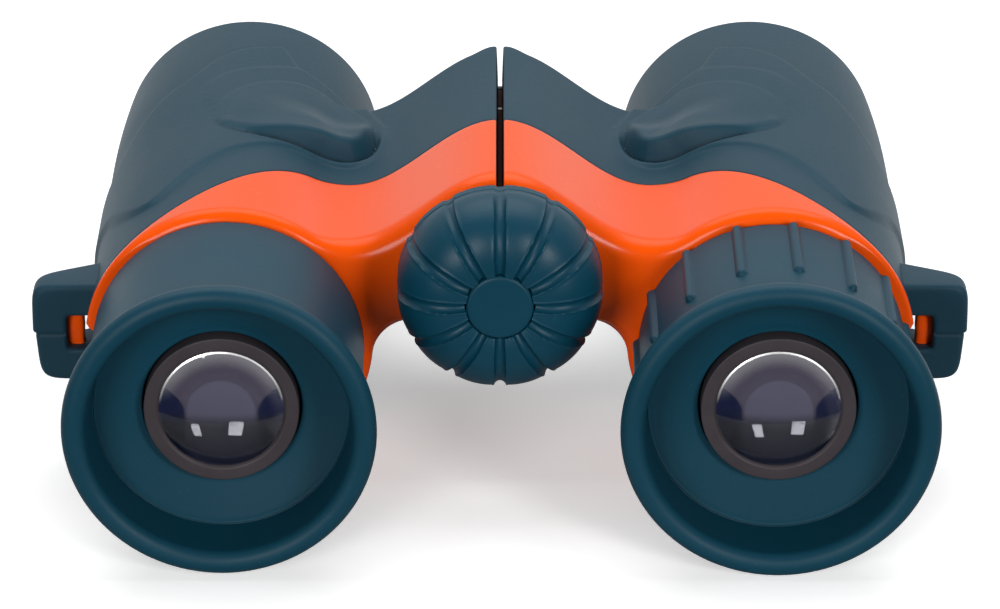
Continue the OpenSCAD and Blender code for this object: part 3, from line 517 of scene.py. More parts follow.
def section(inset, slit_foot, fold_foot, edge, low_inset=None):
    """Right half's outline across the barrels, with inset as distance inside the outer surface.

    It runs up the slit face, over the ridge and the saddle, round the barrel, along the arch and the
    underside to the fold face. slit_foot and fold_foot are the distances of its two ends from the hinge
    axis, and edge is the size of the rounding at the slit and at the fold. Heights count from the barrel
    axes. The underside has its own inset, since little wall is left below the hinge. Gives points and their
    outward directions.
    """
    n = list(PARTS.values())
    low_inset = inset if low_inset is None else low_inset
    top_r = RIDGE - HINGE_UP - inset
    low_r = (HINGE_UP - ARCH_RISE - low_inset) / math.cos(FOLD)
    top, low = HINGE + SLIT_WAY * top_r, HINGE + FOLD_WAY * low_r
    slit = HINGE + SLIT_WAY * np.linspace(slit_foot, top_r - edge, n[0])[:, None]
    x = np.linspace(top[0] + edge, SADDLE_X, n[2] + 1)
    z, slope = ridge(x)
    long = np.sqrt(1 + slope ** 2)
    crest = np.stack([x + inset * slope / long, z - inset / long], -1)
    crest_n = np.stack([-slope / long, 1 / long], -1)
    a = np.linspace(0, SADDLE_TURN, n[3] + 1)[1:]
    saddle_n = compass(-a)
    saddle = np.array([SADDLE_X, SADDLE_Z + SADDLE_FILLET]) - (SADDLE_FILLET + inset) * saddle_n
    share = np.linspace(0, 1, n[4] + 1)[1:]
    a = BARREL_FROM + (BARREL_TO - BARREL_FROM) * (0.55 * share + 0.45 * share ** 2)
    barrel_n = compass(a)
    barrel = BARREL + (BARREL_R - inset) * barrel_n
    a = np.linspace(ARCH_TURN, 0, n[5] + 1)[1:]
    arch_n = -compass(a)
    sink = np.linspace(inset, low_inset, n[5] + 1)[1:, None]
    arch = np.array([ARCH_X, ARCH_Z]) - (ARCH_FILLET + sink) * arch_n
    x = np.linspace(ARCH_X, low[0] + edge, n[6] + 1)[1:]
    under = np.stack([x, np.full_like(x, ARCH_RISE + low_inset)], -1)
    fold = HINGE + FOLD_WAY * np.linspace(low_r - edge, fold_foot, n[8])[:, None]
    top_edge = bezier(slit[-1], top, crest[0], n[1] + 2)[1:-1]
    low_edge = bezier(under[-1], low, fold[0], n[7] + 2)[1:-1]
    points = np.vstack([slit, top_edge, crest[1:], saddle, barrel, arch, under, low_edge, fold])
    side, floor = np.array([-math.cos(SLIT), math.sin(SLIT)]), np.array([0.0, -1.0])
    back = np.array([-math.cos(FOLD), -math.sin(FOLD)])
    bend = np.linspace(0, 1, n[1])[:, None]
    dip = np.linspace(0, 1, n[7])[:, None]
    normals = np.vstack([np.tile(side, (n[0], 1)), side * (1 - bend) + np.array([0.0, 1.0]) * bend, crest_n[1:],
                         saddle_n, barrel_n, arch_n, np.tile(floor, (n[6], 1)), floor * (1 - dip) + back * dip,
                         np.tile(back, (n[8], 1))])
    return points, normals / np.linalg.norm(normals, axis=1)[:, None]


EDGE_RUN, EDGE_FORE, EDGE_REAR = 14.0, 18.6, 1.0


def armour_edge(x):
    """Y of the armour's rear edge: far forward on the bridge, a cosine ramp over the barrel, then at the rear."""
    share = np.clip((x - AXIS_X + EDGE_RUN) / (2 * EDGE_RUN), 0, 1)
    return Y_BODY + EDGE_FORE + (EDGE_REAR - EDGE_FORE) * (1 - np.cos(math.pi * share)) / 2


def barrel_radius(y):
    """Radius of a barrel: straight, then a parabola down to the front end."""
    return BARREL_R - (BARREL_R - FRONT_R) * np.clip((y - Y_TAPER) / (Y_FRONT - Y_TAPER), 0, 1) ** 2


def in_space(xz, y):
    """Points across the barrels and their Y as points in space."""
    y = np.broadcast_to(y, xz.shape[:-1])
    return np.stack([xz[..., 0], y, xz[..., 1] + AXIS_Z], -1)


HALF_MIDDLE = (AXIS_X * 0.6, 0, AXIS_Z + 4)
INNER_ARC = np.linspace(BARREL_FROM, BARREL_TO - 2 * math.pi, 40)


def end_face(top, arc, low, slit_foot, fold_foot, hinge_r, y):
    """Outline of the bridge's end across Y: the ridge line, the barrel's inner arc, the underside, the hinge side."""
    turn = np.linspace(math.pi - FOLD, SLIT, 40)
    side = np.vstack([HINGE + FOLD_WAY * fold_foot, HINGE + hinge_r * compass(turn), HINGE + SLIT_WAY * slit_foot])
    loop = np.vstack([top, arc, low[::-1], side])
    keep = np.linalg.norm(loop - np.roll(loop, 1, 0), axis=1) > 1e-3
    return in_space(loop[keep], y)


def polyline_distance(x, y, line):
    """Least distance of each point from a line of points, one piece of the line after another."""
    a, b = line[:-1], line[1:]
    run = b - a
    q = np.stack([x, y], -1)[..., None, :] - a
    t = np.clip((q * run).sum(-1) / (run ** 2).sum(-1), 0, 1)
    return np.linalg.norm(q - t[..., None] * run, axis=-1).min(-1)


def inside(x, y, ring):
    """Whether each point lies in a closed outline: an odd number of its sides crosses the ray along x."""
    a, b = ring, np.roll(ring, -1, 0)
    yy = y[..., None]
    crosses = (a[:, 1] > yy) != (b[:, 1] > yy)
    rise = np.where(b[:, 1] == a[:, 1], 1e-9, b[:, 1] - a[:, 1])
    at = a[:, 0] + (yy - a[:, 1]) * (b[:, 0] - a[:, 0]) / rise
    return (crosses & (x[..., None] < at)).sum(-1) % 2 == 1


def flowing(points, steps=8):
    """A smooth line through points: a cubic between each two, with slopes from their neighbours."""
    p = np.array(points, float)
    padded = np.vstack([2 * p[0] - p[1], p, 2 * p[-1] - p[-2]])
    t = np.linspace(0, 1, steps, endpoint=False)[None, :, None]
    p0, p1, p2, p3 = (padded[i:len(padded) - 3 + i, None] for i in range(4))
    curve = 0.5 * (2 * p1 + (p2 - p0) * t + (2 * p0 - 5 * p1 + 4 * p2 - p3) * t ** 2
                   + (3 * p1 - p0 - 3 * p2 + p3) * t ** 3)
    return np.vstack([curve.reshape(-1, 2), p[-1:]])


# Lines of the sculpted armour: distance from the middle plane and distance forward of the eyecup rim's bead
BEAD_Y = box_mm("left_eyecup")[0][1] + 1.4
CREASE = [(14.1, 57.5), (14.0, 54.0), (14.7, 51.2), (16.2, 48.7), (18.1, 47.4), (19.8, 47.1), (21.6, 47.1),
          (23.5, 46.8), (25.9, 46.1), (28.8, 44.8), (32.4, 42.4), (35.9, 38.8), (38.1, 35.6), (39.8, 33.2),
          (41.6, 32.0), (43.6, 33.3), (45.5, 36.6), (47.2, 41.0), (49.6, 45.5)]
PANEL_FRONT = [(49.6, 53.0), (47.0, 57.0), (44.6, 62), (42, 65.8), (38.6, 68.4), (35.7, 72.5), (32.7, 75.3),
               (29, 77.1), (27.4, 77.6), (26.4, 75.3), (25.2, 72.3), (22.4, 70.8), (19.4, 69.4), (17.1, 67.1),
               (14.9, 60.5)]
PLATE = [(36.7, 63.8), (34.2, 66.8), (31.1, 68.5), (28.1, 69.9), (25, 71.8), (22.4, 70.7), (19.4, 69.3), (17.1, 67.0)]
PAD_FRONT = [(34.8, 52.6), (34.6, 55.6), (33.9, 58.6), (32.2, 61.5), (29.8, 63.8), (27.2, 65.6), (24.4, 66.9),
             (22, 67.1), (19.7, 65.9), (17.8, 63.9), (16.4, 61.4)]
PAD_LIP = [(16.4, 61.4), (15.7, 58.7), (15.3, 55.4), (15.5, 52.5), (16.2, 50.5), (17.4, 49.4), (18.9, 48.9),
           (20.3, 48.7), (22.1, 48.5), (24, 48.1), (26, 47.9), (28.9, 47.9), (31.4, 48.5), (33.6, 49.9), (34.8, 52.6)]
PLATE_BACK = [(14.6, 58), (18, 50), (34, 50)]
PANEL_RISE, PLATE_RISE, PAD_EDGE, PAD_LOW, PAD_RISE, PAD_FALL = 0.46, 0.1, 0.1, 0.35, 2.25, 0.35
GROOVE_DEPTH, BRIM_RISE = 0.85, 0.1


def to_frame(points):
    """Points of the lines above with their Y in the frame."""
    return np.array(points, float) + np.array([0, BEAD_Y])


def sculpt(x, y):
    """Height of the armour's relief at a distance x from the middle plane and at y.

    The panel stands up inside its outline, the plate a little more, and the thumb pad rises from its
    front line to its rear lip and falls there like a pillow, higher towards the bridge. A groove with a
    low brim runs behind the lip.
    """
    ahead = y - BEAD_Y
    crease = flowing(to_frame(CREASE))
    front = flowing(to_frame(PANEL_FRONT), 5)
    panel = np.vstack([crease, front])
    line = np.vstack([panel, panel[:1]])
    side = np.where(inside(x, y, panel), 1.0, -1.0)
    at_crease, at_front = polyline_distance(x, y, crease), polyline_distance(x, y, line)
    soft = np.where(at_crease < at_front + 0.6, 0.9, 0.45)
    height = PANEL_RISE * smooth((side * at_front + soft * 0.5) / soft)
    plate = flowing(to_frame(PLATE), 6)
    plate_side = np.where(inside(x, y, np.vstack([plate, to_frame(PLATE_BACK)])), 1.0, -1.0)
    step = smooth((plate_side * polyline_distance(x, y, plate) + 0.2) / 0.4)
    height += PLATE_RISE * step * smooth((ahead - 50) / 8) * smooth((38 - x) / 4) * smooth((x - 17) / 2.5)
    lip, pad_front = flowing(to_frame(PAD_LIP)), flowing(to_frame(PAD_FRONT))
    in_pad = inside(x, y, np.vstack([lip, pad_front]))
    to_lip, to_front = polyline_distance(x, y, lip), polyline_distance(x, y, pad_front)
    full = PAD_RISE * smooth((31.5 - x) / 10) - PAD_FALL * smooth((20 - x) / 4)
    rise = PAD_LOW + full * smooth((61 - ahead) / 8)
    width = 1.0 + 0.7 * smooth((35 - x) / 14)
    pillow = 1 - (1 - np.clip(to_lip / width, 0, 1)) ** 2.4
    slope = to_front / (to_front + to_lip + 0.01)
    cushion = rise * slope ** 0.9 * smooth(to_front / 3) * pillow
    height += np.where(in_pad, PAD_EDGE * smooth(to_front / 0.5) + cushion, 0)
    fade = smooth((35.5 - x) / 10) * smooth((57 - ahead) / 5)
    groove = np.where(in_pad, 1 - smooth(to_lip / 0.9), 1 - smooth(to_lip / 1.25))
    brim = np.where(in_pad, 0, np.exp(-((to_lip - 1.5) / 0.45) ** 2))
    return height + fade * (BRIM_RISE * brim - GROOVE_DEPTH * groove)


def dimple(x, z, y):
    """Depth of the shallow hollow in the barrel's side beside the strap slot."""
    deepest = 1.3
    return deepest * smooth((x - 45) / 2) * smooth((2.6 - np.abs(z + 0.4)) / 0.5) * smooth((Y_BODY + 11 - y) / 1.5)


SEAM = 0.02  # half of the gap between the armour's rear edge and the shell's step


def armour_skin():
    """Rubber over one half: bridge and barrel skin, front of the bridge, front ring with its lip.

    The skin is the outline carried along Y from the curved rear edge to the front of the bridge. A small
    quarter circle rounds the rear edge and a larger one the front edge of the bridge. The ring is the
    barrel's circle carried on to the lip, over it, and down the wall of the cap seat.
    """
    skin = Skin()
    slit_foot, fold_foot = RIDGE - HINGE_UP - 1.0, (HINGE_UP - ARCH_RISE) / math.cos(FOLD) - 1.0
    base, normal = section(0.0, slit_foot, fold_foot, 0.35)
    x = base[:, 0]
    start = armour_edge(x)
    spot = np.arange(len(x))
    lip, turn_r, lip_r, seat_r = 0.3, 1.3, 1.1, 0.5
    fade = smooth((UPPER - 1 - spot) / 30) * smooth((spot - ENDS[1]) / 14) * (spot < UPPER)
    fade += smooth((spot - LOWER) / 20) * smooth((ENDS[6] - spot) / 14) * (spot >= LOWER)
    front_r = turn_r * fade
    turn = quarter(6)[:, None]
    deep = np.vstack([[[0.9]], lip * (1 - np.sin(turn))])
    rear_y = start[None] + SEAM + np.vstack([[[0.0]], lip * (1 - np.cos(turn))])
    even = np.linspace(0, 1, 140)[1:, None]
    share = np.where(even < 0.68, even * 0.8, 0.544 + (even - 0.68) * 1.425)
    main_y = rear_y[-1] + (Y_BRIDGE - front_r - rear_y[-1]) * share
    front_turn = quarter(7)[1:, None]
    front_y = Y_BRIDGE - front_r * (1 - np.sin(front_turn))
    y = np.vstack([rear_y, main_y, front_y])
    inset = np.vstack([deep + 0 * start[None], 0 * main_y, front_r * (1 - np.cos(front_turn))])
    height = sculpt(np.broadcast_to(x, y.shape), y) * smooth((normal[:, 1] + 0.3) / 0.3)
    height *= (np.arange(len(y)) >= len(rear_y) - 1)[:, None]
    height -= dimple(base[:, 0], base[:, 1], y)
    rows = base[None] + normal[None] * (height - inset)[..., None]
    skin.add(in_space(rows, y), wrap_cols=False, away=HALF_MIDDLE)
    outer = np.arctan2(base[UPPER - 1:LOWER, 0] - AXIS_X, base[UPPER - 1:LOWER, 1])
    turn = np.concatenate([outer, INNER_ARC[-2:0:-1]])
    direction = compass(turn)
    wall_y = np.linspace(Y_BRIDGE, Y_FRONT - lip_r, 62)
    curve = quarter(8)[1:]
    ring_y = np.concatenate([wall_y, Y_FRONT - lip_r * (1 - np.sin(curve)), [Y_FRONT, Y_FRONT],
                             Y_FRONT - seat_r * (1 - np.cos(curve)), [Y_CORE_FRONT + 0.1]])
    end = barrel_radius(Y_FRONT - lip_r)
    ring_r = np.concatenate([barrel_radius(wall_y), end - lip_r * (1 - np.cos(curve)), [15.0, CAP_BORE_R + seat_r],
                             CAP_BORE_R + seat_r * (1 - np.sin(curve)), [CAP_BORE_R]])
    ring_x = AXIS_X + ring_r[:, None] * direction[None, :, 0]
    yy = np.broadcast_to(ring_y[:, None], ring_x.shape)
    up = np.broadcast_to(smooth((direction[None, :, 1] + 0.3) / 0.3), ring_x.shape)
    height = sculpt(np.where(up > 0, ring_x, 100.0), yy) * (np.arange(len(ring_y)) < len(wall_y))[:, None]
    r = ring_r[:, None] + height * up
    ring = np.stack([AXIS_X + r * direction[None, :, 0], yy, AXIS_Z + r * direction[None, :, 1]], -1)
    arc = ring[0, len(outer):][::-1][:, [0, 2]] - np.array([0, AXIS_Z])
    skin.plate(end_face(rows[-1, :UPPER], arc, rows[-1, :LOWER - 1:-1], slit_foot, fold_foot, HINGE_R + HINGE_GAP,
                        Y_BRIDGE), 1)
    seat = len(ring_y) - 10
    skin.add(ring[:len(wall_y)], away=(AXIS_X, Y_TAPER, AXIS_Z))
    skin.add(ring[len(wall_y) - 1:seat + 1], away=(AXIS_X, Y_TAPER, AXIS_Z))
    return skin.add(ring[seat:], towards=(AXIS_X, Y_FRONT, AXIS_Z))


LUG_Z, LUG_Y, LUG_OUT = AXIS_Z + 0.4, Y_BODY + 2.4, box_mm("right_armour")[1][0]
LUG_IN, LUG_HALF, LUG_SQUARE, LUG_BAR = 42.0, 6.2, 7.5, 50.0
LUG_SLOT_IN, LUG_SLOT_OUT, LUG_SLOT_HALF, LUG_SLOT_SQUARE = 48.1, 51.3, 2.12, 7
PARTING, PARTING_STEP, LUG_DRAFT = -0.2, 0.28, 0.55


def squarish(a, power):
    """Radius of a rounded square at angles a: the power sum of cosine and sine, to minus one over the power."""
    return (np.abs(np.cos(a)) ** power + np.abs(np.sin(a)) ** power) ** (-1 / power)


def lug_loop(skin):
    """Strap lug: a loop of rubber round its slot.

    Round the slot, each step takes a point on the slot's outline and one on the lug's outline. The cross
    section there is a rounded box between them, as long as the lug is at that distance. A parting line
    runs round the outer bar at half height, and the lower half is a little slimmer.
    """
    a = np.linspace(0, 2 * math.pi, 240, endpoint=False)

    def frame_of(x0, x1, half, power):
        """A rounded box from x0 to x1, half as high as given on either side."""
        r = squarish(a, power)
        return np.stack([(x0 + x1) / 2 + (x1 - x0) / 2 * r * np.cos(a), half * r * np.sin(a)], -1)

    slot = frame_of(LUG_SLOT_IN, LUG_SLOT_OUT, LUG_SLOT_HALF, LUG_SLOT_SQUARE)
    outline = frame_of(LUG_IN, LUG_OUT, LUG_HALF, LUG_SQUARE)
    z = outline[:, 1]
    outline[:, 0] -= np.where(z < PARTING, PARTING_STEP, 0) * (outline[:, 0] > LUG_BAR)
    outline[:, 0] -= LUG_DRAFT * np.clip(-z / LUG_HALF, 0, 1) * (outline[:, 0] > LUG_BAR)
    outline[:, 0] -= 0.22 * np.exp(-((z - PARTING) / 0.16) ** 2) * (outline[:, 0] > LUG_BAR)
    inner, outer = quarter(5)[1:], quarter(7)[1:]
    across = np.concatenate([[0.0], 0.12 * (1 - np.cos(inner)), np.linspace(0.16, 0.8, 12),
                             1 - 0.16 * (1 - np.sin(outer))])
    fall = np.concatenate([[0.45], 0.45 * (1 - np.sin(inner)), np.zeros(12), 0.75 * (1 - np.cos(outer))])
    p = slot[None] + (outline - slot)[None] * across[:, None, None]
    length = np.interp(p[..., 0], [44.8, LUG_OUT], [8.6, 3.3])
    dent = 0.14 * np.exp(-((p[..., 1] - PARTING) / 0.2) ** 2) * (p[..., 0] > 51.5)
    rear = LUG_Y + fall[:, None] + dent
    front = LUG_Y + length - fall[:, None]
    back = np.stack([p[..., 0], rear, LUG_Z + p[..., 1]], -1)
    fore = np.stack([p[..., 0], front, LUG_Z + p[..., 1]], -1)
    skin.add(back, facing=(0, -1, 0))
    skin.add(fore, facing=(0, 1, 0))
    skin.add(np.stack([back[-1], fore[-1]]), away=(LUG_BAR, LUG_Y + 3, LUG_Z))
    return skin.add(np.stack([back[0], fore[0]]), towards=(49.7, LUG_Y + 3, LUG_Z))


CORE_DEPTH = ARMOUR_T + 0.05


def shell_skin(own_knuckle):
    """Orange shell of one half: core under the armour, bare rear zone, rear edge, rear face.

    The outline is carried along Y. Under the armour it lies deeper by the armour's thickness, at the
    armour's edge it steps up to the surface, and at the rear a quarter circle leads to the rear face.
    own_knuckle(y) tells where this half carries a hinge knuckle, so its inner ends reach it there.
    """
    skin = Skin()
    edge_r, step_r, low_depth, slit_edge = 1.5, 0.22, 0.55, 0.4
    outer, normal = section(0.0, HINGE_R, HINGE_R, slit_edge)
    start = armour_edge(outer[:, 0])
    core_y = start[None] - SEAM + np.linspace(1, 0, 24)[:, None] * (Y_BRIDGE_CORE - start[None])
    turn = quarter(5)[:, None]
    step_in = np.vstack([[[CORE_DEPTH]], [[0.8]], step_r * (1 - np.sin(turn))])
    step_y = start[None] - SEAM - np.vstack([[[0.0]], [[0.0]], step_r * (1 - np.cos(turn))])
    share = np.linspace(0, 1, 44)[1:, None]
    turn = quarter(10)[1:, None]
    spot = np.arange(len(start))
    wide_r = edge_r + smooth((UPPER - 1 - spot) / 60) * (spot < UPPER)
    round_r = np.minimum(wide_r, (start - Y_BODY) * 0.6)[None]
    bare_y = np.maximum(step_y[-1] + (Y_BODY + round_r - step_y[-1]) * share, Y_BODY + round_r)
    rear_y = Y_BODY + round_r * (1 - np.sin(turn))
    y = np.vstack([core_y, step_y, bare_y, rear_y])
    inset = np.vstack([0 * core_y + CORE_DEPTH, step_in + 0 * start[None], 0 * bare_y,
                       round_r * (1 - np.cos(turn))])
    depth, y_plain = inset[:, ENDS[1] + 2], y[:, ENDS[1] + 2]
    on_barrel = spot < LOWER

    def foot_at(at_y):
        """Distance of the half's inner ends from the hinge axis."""
        return HINGE_R - 0.1 if own_knuckle(at_y) else HINGE_R + HINGE_GAP

    rows = []
    for level, at_y, inset_row in zip(depth, y_plain, inset):
        foot = foot_at(at_y)
        points, way = section(level, foot, foot, slit_edge, min(level, low_depth))
        rows.append(points + way * ((level - inset_row) * on_barrel)[:, None])
    rows = np.array(rows)
    rows -= normal[None] * (dimple(outer[:, 0], outer[:, 1], y) * (inset < 1.0))[..., None]
    skin.add(in_space(rows, y), wrap_cols=False, away=HALF_MIDDLE)
    foot, last = foot_at(Y_BODY), rows[-1]
    inner = BARREL + (BARREL_R - edge_r) * compass(INNER_ARC)
    skin.plate(end_face(last[:UPPER], inner[1:-1], last[:LOWER - 1:-1], foot, foot, foot, Y_BODY), -1)
    ring = np.vstack([last[UPPER - 1:LOWER], inner[-2:0:-1]])
    direction = ring - BARREL
    direction /= np.linalg.norm(direction, axis=1)[:, None]
    bore = BARREL + BORE_R * direction
    face = np.stack([ring, ring * 0.5 + bore * 0.5, bore + direction * 0.3])
    skin.add(in_space(face, Y_BODY), facing=(0, -1, 0))
    tube = np.stack([bore + direction * 0.3, bore + direction * 0.06, bore, bore])
    tube_y = np.array([0, 0.08, 0.4, 5.0])[:, None] + Y_BODY
    return skin.add(in_space(tube, tube_y), towards=(AXIS_X, Y_BODY, AXIS_Z))


def shell_extras(skin, knuckles):
    """Closed rings of the shell: the tube under the front armour, the hinge knuckles, the lug's post."""
    rear, bevel, bush_r = Y_BRIDGE_CORE - 2, 0.25, 4.3
    y = np.linspace(rear, Y_CORE_FRONT, 14)
    outside = np.stack([barrel_radius(y) - CORE_DEPTH, y], -1)
    inside_wall = np.array([[BORE_R + bevel, Y_CORE_FRONT], [BORE_R, Y_CORE_FRONT - bevel], [BORE_R, rear]])
    skin.add(turned(np.vstack([outside, inside_wall])), wrap_rows=True)
    for y0, y1 in knuckles:
        ring = rounded([(HINGE_R, y0, 0.35), (HINGE_R, y1, 0.35), (bush_r, y1, 0.2), (bush_r, y0, 0.2)], 4)
        skin.add(turned(densify(ring, 0.8), 96, HINGE_AXIS), wrap_rows=True)
    post_half, post_x, post_y = 4.0, 50.55, LUG_Y + 2.7
    a = np.linspace(0, 2 * math.pi, 48, endpoint=False)
    z = np.concatenate([[-post_half], np.linspace(-post_half, post_half, 41), [post_half]])[:, None]
    grow = np.concatenate([[0.0], np.ones(41), [0.0]])[:, None]
    bulge = 1 + 0.1 * np.exp(-z ** 2)
    r = squarish(a, 4)
    post = np.stack([post_x + 0.12 * np.cos(math.pi * z / 4.6) + 1.2 * bulge * grow * r * np.cos(a),
                     post_y + 1.1 * bulge * grow * r * np.sin(a), LUG_Z + z + 0 * a], -1)
    return skin.add(post)


EAR, WASHER, MARGIN = 6.0, 0.76, 0.2
REAR_EAR = (Y_BODY, Y_BODY + EAR)
FRONT_EAR = (Y_BRIDGE_CORE - EAR, Y_BRIDGE_CORE)
TUBE = (REAR_EAR[1] + WASHER, FRONT_EAR[0] - WASHER)


def on_right(y):
    """Whether the right half's two knuckles are at y."""
    return y < REAR_EAR[1] - MARGIN or y > FRONT_EAR[0] + MARGIN


def on_left(y):
    """Whether the left half's one knuckle is at y."""
    return TUBE[0] + MARGIN < y < TUBE[1] - MARGIN


for side, mirrored, where, knuckles in (("right", False, on_right, (REAR_EAR, FRONT_EAR)),
                                        ("left", True, on_left, (TUBE,))):
    shell_extras(shell_skin(where), knuckles).make(
        f"{side}_shell", f"{side}_half", "orange_shell", ORANGE, f"{side}_housing", mirrored)
    lug_loop(armour_skin()).make(
        f"{side}_rubber_armour", f"{side}_half", "teal_armour", ARMOUR, f"{side}_armour", mirrored)


# ---- eyepieces ----

RIM_R, CUP_FLOOR, HOLE_R, DISH = 1.4, Y_BODY - 17.6, 9.2, 0.95
SKIRT_FRONT, SKIRT_LEFT, SKIRT_RIGHT, SKIRT_T = Y_BODY - 0.3, 16.0, 15.7, 1.9
RIBS, RIB_R, RIB_REAR, RIB_FRONT = 15, 0.62, Y_BODY - 13.7, Y_BODY - 1.2


def cup_outline(rim, skirt):
    """Outline of an eyecup: bead, inner wall, dished floor with its hole, inside of the skirt, skirt, flare."""
    bead = rim - RIM_R
    a = np.radians(np.linspace(75, -172, 34))
    head = np.stack([bead + RIM_R * np.cos(a), BEAD_Y + RIM_R * np.sin(a)], -1)
    inner = skirt - SKIRT_T
    wall = bead - RIM_R
    t = np.linspace(0, 1, 26)[:, None]
    well = np.array([[wall - 0.02, BEAD_Y + 0.4]]) * (1 - t) + np.array([[wall - 0.3, CUP_FLOOR - 0.12]]) * t
    crease = np.array([[wall - 0.33, CUP_FLOOR - 0.04], [wall - 0.4, CUP_FLOOR], [wall - 0.47, CUP_FLOOR - 0.06],
                       [wall - 0.55, CUP_FLOOR - 0.07], [wall - 0.64, CUP_FLOOR - 0.02], [wall - 0.8, CUP_FLOOR]])
    dish = np.stack([np.linspace(wall - 1.1, HOLE_R + 0.6, 14), CUP_FLOOR + DISH * np.linspace(0.04, 0.97, 14)], -1)
    lip = CUP_FLOOR + DISH
    hole = bezier((HOLE_R + 0.3, lip), (HOLE_R, lip), (HOLE_R, lip + 0.2), 6)
    rest = np.array([[HOLE_R, CUP_FLOOR + 1.3], [inner, CUP_FLOOR + 1.3], [inner, SKIRT_FRONT]])
    front = bezier((skirt - 0.5, SKIRT_FRONT), (skirt, SKIRT_FRONT), (skirt, SKIRT_FRONT - 0.5), 6)
    side = np.stack([np.full(26, skirt), np.linspace(Y_BODY - 12.6, Y_BODY - 14.6, 26)], -1)
    flare = bezier((skirt, CUP_FLOOR - 0.2), (skirt, BEAD_Y + 2.6), (head[0, 0] - 0.1, head[0, 1] + 0.16), 18)
    return np.vstack([head, well, crease, dish, hole, rest, front, side, flare])


def ribs(r, y, a):
    """Ribs on the skirt: where the arc to the nearest rib's line is less than its radius, a half round stands up.

    A fine swell round each rib softens its foot.
    """
    step = 2 * math.pi / RIBS
    off = (a - step / 3 + step / 2) % step - step / 2
    across = np.abs(off) * SKIRT_RIGHT
    beyond = np.maximum(np.maximum(RIB_REAR - y, y - RIB_FRONT), 0)
    d = np.sqrt(across ** 2 + beyond ** 2)
    rise = np.sqrt(np.clip(RIB_R ** 2 - d ** 2, 0, None)) + 0.07 * np.exp(-(d / (RIB_R * 1.2)) ** 4)
    return r + np.where((r > SKIRT_RIGHT - 0.2) & (y < SKIRT_FRONT - 0.3), rise, 0), y


def closed(outline, step, turns, shape=None):
    """A closed outline turned into a closed ring round the eyepiece axis."""
    return Skin().add(turned(densify(outline, step), turns, shape=shape), wrap_rows=True)


def half_width(node):
    """Radius of a round CAD node."""
    low, high = box_mm(node)
    return (high[0] - low[0]) / 2


closed(cup_outline(half_width("left_eyecup"), SKIRT_LEFT), 0.5, 200).make(
    "left_cup", "left_half", "teal_rubber", CUP_RUBBER, "left_eyecup", True)
closed(cup_outline(half_width("right_eyecup"), SKIRT_RIGHT), 0.35, 600, ribs).make(
    "right_cup", "right_diopter", "teal_rubber", CUP_RUBBER, "right_eyecup")


def lens_piece(name, body, node, domes, mirror, finish, out=0.0):
    """A lens in the place of a CAD lens, standing out to the rear.

    Its outline runs from pole to pole: two arcs of a circle, with domes as the radii of the rear and the
    front face, and the ground edge with small bevels.
    """
    low, high = (corner - np.array([0, out, 0]) for corner in box_mm(node))
    r, bevel = half_width(node), 0.12
    x = np.append(np.linspace(0, r - bevel, 22), r)
    rear, front = (dome - np.sqrt(dome ** 2 - x ** 2) for dome in domes)
    rear[-1] += bevel
    front[-1] += bevel
    outline = np.vstack([np.stack([x, low[1] + rear], -1), np.stack([x, high[1] - front], -1)[::-1]])
    Skin().add(turned(outline, 96)).make(name, body, "lens_glass", finish, node, mirror, 25)


def ring_piece(name, body, material, node, corners, mirror):
    """A black ring with rounded corners in the place of a CAD ring."""
    closed(rounded(corners, 5), 0.6, 128).make(name, body, "black_plastic", material, node, mirror)


LENS_OUT, EYE_DOMES, FRONT_DOMES = 2.0, (24.0, 17.0), (44.0, 44.0)
RING_SEAT_R, RING_BEVEL_R, FRONT_LIP_R, FRONT_BEVEL_R = 7.7, 7.5, 9.9, 10.2
for side, mirrored, ocular in (("left", True, "left_half"), ("right", False, "right_ocular")):
    objective = f"{side}_objective"
    lens_piece(f"{side}_eye_glass", ocular, f"{side}_eye_lens", EYE_DOMES, mirrored, EYE_GLASS, LENS_OUT)
    lens_piece(f"{side}_front_glass", objective, f"{side}_objective_lens", FRONT_DOMES, mirrored, GLASS)
    low, high = box_mm(f"{side}_eye_retainer")
    y0, y1, r_out = low[1] - LENS_OUT + 0.3, high[1], HOLE_R - 0.25
    ring_piece(f"{side}_eye_ring", ocular, RING_BLACK, f"{side}_eye_retainer",
               [(r_out, y0, 0.2), (r_out, y1, 0.1), (RING_SEAT_R, y1, 0.1), (RING_SEAT_R, y0 + 0.72, 0.1),
                (EYE_R, y0 + 0.7, 0.1), (EYE_R, y0 + 0.35, 0.12), (RING_BEVEL_R, y0, 0.18)], mirrored)
    low, high = box_mm(f"{side}_objective_retainer")
    y0, y1, r_out = low[1], high[1], half_width(f"{side}_objective_retainer")
    ring_piece(f"{side}_front_ring", objective, BLACK, f"{side}_objective_retainer",
               [(r_out, y0, 0.1), (r_out, y1, 0.15), (FRONT_BEVEL_R, y1, 0.1), (FRONT_LIP_R, y1 - 0.5, 0.2),
                (FRONT_LIP_R, y0, 0.1)], mirrored)


# ---- focus knob and hinge cap ----

KNOB_R, KNOB_FRONT = half_width("knob_grip"), box_mm("knob_grip")[1][1]
DISC_R, DISC_Y, DISC_BACK = 3.95, *(corner[1] for corner in box_mm("knob_cap"))
HUB_R, HUB_MOUTH_R, HUB_DEPTH = 6.06, 8.0, 1.3
DOME_DEPTH = 6.1
DOME_Y = DISC_Y + DOME_DEPTH
DOME_R = ((KNOB_R - DISC_R) ** 2 + DOME_DEPTH ** 2) / (2 * (KNOB_R - DISC_R))
DOME_X = KNOB_R - DOME_R


